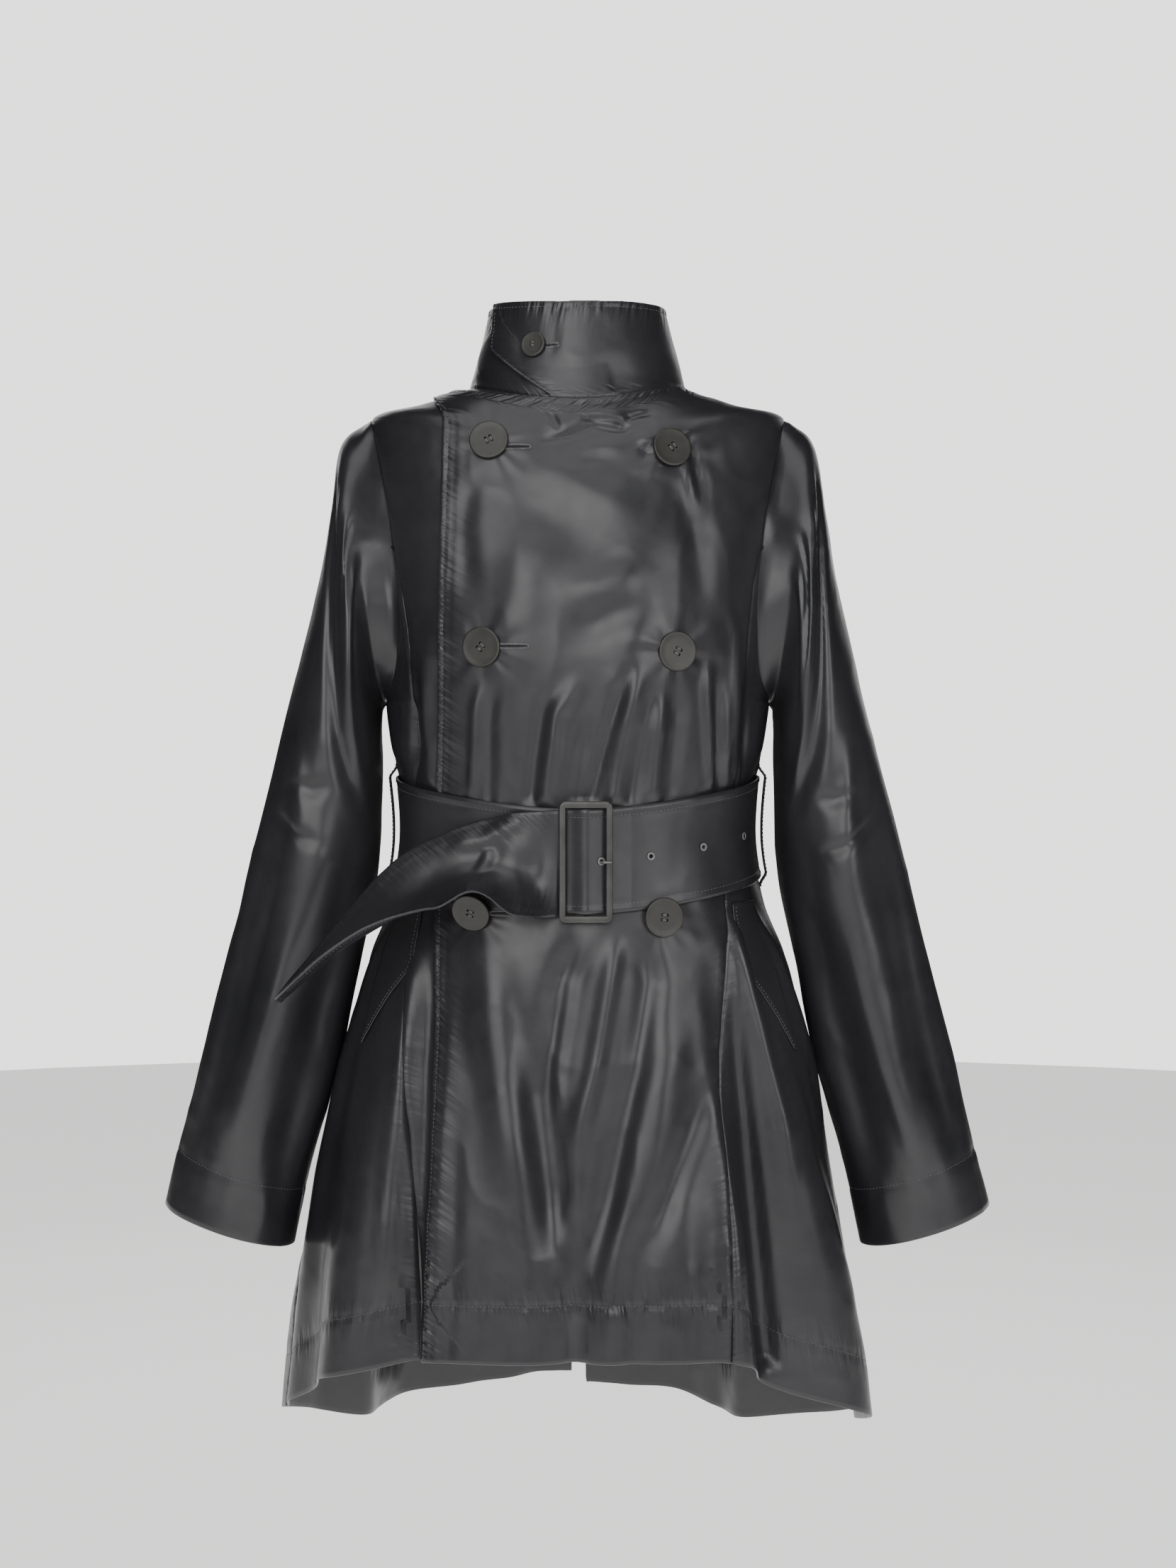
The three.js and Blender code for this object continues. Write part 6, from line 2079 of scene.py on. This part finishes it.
@dataclass
class Buckle:
    """Buckle frame with its centre bar, prong and the belt's eyelets."""

    metal: Material
    eyelet_metal: Material
    bar: float = 5.5
    depth: float = 3.5
    corner: float = 5.5
    bar_radius: float = 2.1
    sides: int = 24
    squareness: float = 0.55
    prong_down: float = 451.0
    prong_radii: tuple[float, float, float] = (0.85, 0.95, 0.7)
    # An eyelet's section: middle radius, half-width, middle height and half-height.
    ring: tuple[float, float, float, float] = (2.5, 0.85, 0.25, 0.5)
    # The prong's path: place across and stand off the over front.
    prong: tuple[tuple[float, float], ...] = (
        (10.3, 5.6), (13, 4.0), (16.2, 3.2), (18.2, 5.4), (19.2, 9.2), (21.4, 12.6), (24, 13.0),
        (27.5, 13.0))

    def build(self) -> None:
        """Makes the frame, the prong and the eyelets."""
        low, high = (np.array(corner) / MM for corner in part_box("buckle_frame"))
        centre = 0.5 * (low + high)
        half = (high - low) / 2 - self.bar / 2
        frame_at = np.array([centre[0], low[1] + self.depth / 2, centre[2]])
        rod_at = np.array([centre[0], high[1] - self.bar_radius, centre[2]])
        reach = np.array([0.0, 0.0, half[2] - 0.5])
        rod = tube(np.linspace(rod_at - reach, rod_at + reach, 12), self.bar_radius, self.sides)
        rings, faces = self.frame_ring(half[0], half[2])
        piece = make_piece("buckle_frame_metal", *join([(rings + frame_at, faces), rod]))
        finish_piece(outward_faces(piece), self.metal, "buckle", "buckle_frame")
        self.build_prong(centre)
        self.build_eyelets()

    def frame_ring(self, half_x: float, half_z: float) -> tuple[Array, Array]:
        """Sweeps the frame's rounded bar round its four corners.

        Args:
            half_x: Half-width to the bar's middle.
            half_z: Half-height to the bar's middle.

        Returns:
            The points and the faces.
        """
        round_off = self.corner - self.bar / 2
        path = []
        for corner_x, corner_z, start in ((1, 1, 0), (-1, 1, 90), (-1, -1, 180), (1, -1, 270)):
            for turn in np.radians(np.linspace(start, start + RIGHT_ANGLE, 9)):
                path.append((corner_x * (half_x - round_off) + round_off * math.cos(turn), 0.0,
                             corner_z * (half_z - round_off) + round_off * math.sin(turn)))
        path = np.array(path)
        ways = unit(np.roll(path, -1, axis=0) - np.roll(path, 1, axis=0))
        outward = np.cross(ways, [0.0, 1.0, 0.0])[:, None]
        turn = np.linspace(0.0, 2.0 * np.pi, self.sides, endpoint=False)
        waves = np.stack([np.cos(turn), np.sin(turn)])
        wide, deep = np.sign(waves) * np.abs(waves) ** self.squareness
        facing = np.array([0.0, -1.0, 0.0]) * self.depth / 2
        rings = path[:, None] + wide[None, :, None] * self.bar / 2 * outward + deep[None, :, None] * facing
        index = np.arange(len(path) * self.sides).reshape(len(path), self.sides)
        ahead, beside = np.roll(index, -1, axis=0), np.roll(index, -1, axis=1)
        faces = np.stack([index, ahead, np.roll(ahead, -1, axis=1), beside], -1).reshape(-1, 4)
        return rings.reshape(-1, 3), faces

    def build_prong(self, centre: Array) -> None:
        """Makes the prong, from beside the centre bar to over the right bar."""
        front = -(float(BODY.section(np.array(self.prong_down))["front"]) + BODY.overlap_lift)
        knots = Table("index x stand", [(order, *knot) for order, knot in enumerate(self.prong)])
        place = np.linspace(0, len(self.prong) - 1, 60)
        level = np.full(place.shape, centre[2])
        path = np.stack([knots.read("x", place), front - knots.read("stand", place), level], -1)
        radius = np.interp(place, [0, 5, 7], self.prong_radii)
        piece = make_piece("buckle_prong_metal", *tube(path, radius, 14))
        finish_piece(piece, self.eyelet_metal, "buckle", "buckle_prong")

    def build_eyelets(self) -> None:
        """Makes the eyelets where their solids are."""
        turn = np.linspace(0.0, 2.0 * np.pi, 14, endpoint=False)
        middle, wide, height, thick = self.ring
        profile = [(middle + wide * math.cos(angle), height + thick * math.sin(angle)) for angle in turn]
        for order in range(4):
            name = f"eyelet_{order + 1}"
            seat, out = disc_place(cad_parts[name])
            level = unit(np.cross([0.0, 0.0, 1.0], out))
            points, faces = lathe(profile, 32)
            turned = np.stack([level, np.cross(out, level), out])
            piece = make_piece(name + "_ring", points @ turned + seat, faces)
            finish_piece(outward_faces(piece), self.eyelet_metal, "eyelet", name)


def outward_faces(piece: Piece) -> Piece:
    """Turns every face of a closed piece outwards."""
    shape = bmesh.new()
    shape.from_mesh(piece.data)
    bmesh.ops.recalc_face_normals(shape, faces=shape.faces)
    shape.to_mesh(piece.data)
    shape.free()
    return piece


@dataclass
class Studio:
    """Camera, floor and soft lights."""

    camera_place: tuple[float, float, float] = (0.0087, -2.0, -0.265)
    camera_pitch: float = 1.83
    lens: float = 54.03
    floor_height: float = -1.45
    floor_radius: float = 6.0
    paper: tuple[float, float, float, float] = (0.93, 0.925, 0.915, 1.0)
    world_strengths: tuple[float, float] = (0.02, 2.4)
    floor_glow: float = 1.15
    aim: tuple[float, float, float] = (0.0, 0.0, -0.4)
    # Each light: its name, place in metres, width and power in watts.
    lights: tuple[tuple[str, tuple[float, float, float], float, float], ...] = (
        ("key", (-0.7, -2.95, 0.7), 2.2, 68.0), ("fill", (1.7, -2.4, 0.2), 1.3, 27.0),
        ("top", (-0.1, -0.8, 1.7), 1.8, 20.0), ("back_left", (-1.0, 2.8, 0.9), 1.6, 16.0),
        ("back_right", (1.2, 2.8, 0.5), 1.6, 12.0))

    def build(self) -> None:
        """Sets up the studio."""
        camera = bpy.data.objects.new("camera", bpy.data.cameras.new("camera"))
        camera.data.lens, camera.data.sensor_width = self.lens, 36.0
        camera.data.clip_end = 50.0
        camera.location = self.camera_place
        camera.rotation_euler = (math.radians(90.0 - self.camera_pitch), 0.0, 0.0)
        bpy.context.scene.collection.objects.link(camera)
        bpy.context.scene.camera = camera
        self.build_floor()
        for row in self.lights:
            self.light(*row)
        world = bpy.data.worlds.new("studio")
        bpy.context.scene.world = world
        world.use_nodes = True
        nodes = NodeTree(world.node_tree)
        back = next(node for node in world.node_tree.nodes if node.type == "BACKGROUND")
        seen = nodes.add("ShaderNodeLightPath").outputs["Is Camera Ray"]
        back.inputs["Color"].default_value = self.paper
        strength = nodes.span(seen, 0.0, 1.0, *self.world_strengths)
        world.node_tree.links.new(strength, back.inputs["Strength"])

    def build_floor(self) -> None:
        """Makes the plain floor."""
        height = self.floor_height / MM
        floor = make_piece("studio_floor", *lathe([(0, height), (self.floor_radius / MM, height)], 64))
        material, nodes, shader = new_material("floor_paint")
        solid = nodes.add("ShaderNodeTexCoord").outputs["Object"]
        tone = nodes.mix(nodes.noise(solid, 2.0, 2.0), (0.80, 0.795, 0.785), (0.84, 0.835, 0.825))
        material.node_tree.links.new(tone, shader.inputs["Base Color"])
        shader.inputs["Roughness"].default_value = 0.7
        shader.inputs["Emission Color"].default_value = self.paper
        shader.inputs["Emission Strength"].default_value = self.floor_glow
        floor.data.materials.append(material)

    def light(self, name: str, place: tuple[float, float, float], size: float, power: float) -> None:
        """Hangs a soft square light that faces the coat.

        Args:
            name: Name of the light.
            place: Where it hangs, in metres.
            size: Width of its face.
            power: Power in watts.
        """
        lamp = bpy.data.lights.new(name, "AREA")
        lamp.shape, lamp.size, lamp.energy = "SQUARE", size, power
        light = bpy.data.objects.new(name, lamp)
        light.location = place
        way = np.array(self.aim) - np.array(place)
        light.rotation_euler = Vector(way).to_track_quat("-Z", "Y").to_euler()
        bpy.context.scene.collection.objects.link(light)


def main() -> None:
    """Builds the coat in order."""
    logging.basicConfig(level=logging.INFO, format="%(message)s")
    cloth = Taffeta("black_taffeta", (0.023, 0.0226, 0.0255), (0.0145, 0.0145, 0.017), 0.35, 0.0).build()
    lining = Taffeta("taupe_lining", (0.085, 0.068, 0.056), (0.055, 0.044, 0.037), 0.5, 0.15).build()
    thread = Moulded("sewing_thread", (0.13, 0.13, 0.135), (0.075, 0.075, 0.08), 0.5, grain=300.0).build()
    hole_thread = Moulded("buttonhole_thread", (0.13, 0.13, 0.135), (0.07, 0.07, 0.074), 0.5,
                          grain=300.0).build()
    shadow = Moulded("slit_shadow", (0.006, 0.006, 0.007), (0.003, 0.003, 0.004), 0.8).build()
    horn = Moulded("button_resin", (0.024, 0.023, 0.018), (0.013, 0.0125, 0.010), 0.45, coat=0.05).build()
    metal = Moulded("gunmetal", (0.075, 0.074, 0.070), (0.045, 0.0445, 0.042), 0.4, 0.6).build()
    ring = Moulded("painted_ring", (0.20, 0.20, 0.198), (0.13, 0.13, 0.128), 0.4, 0.4).build()
    Studio().build()
    sewing = Sewing()
    body = BodyPanels(cloth, sewing)
    body.build_fronts()
    body.build_sides()
    body.build_backs()
    body.build_linings(lining)
    Sleeves(cloth, sewing).build()
    collar = Collar(cloth, sewing)
    collar.build()
    Belt(cloth, sewing).build()
    BeltLoops(cloth, sewing).build()
    PocketWelts(cloth, sewing).build()
    Buttonholes(shadow, sewing).build(body.over, collar.grid)
    Buttons(horn, thread).build()
    Buckle(metal, ring).build()
    sewing.build({Stitch.TOP: thread, Stitch.HOLE: hole_thread})


if __name__ == "__main__":
    main()
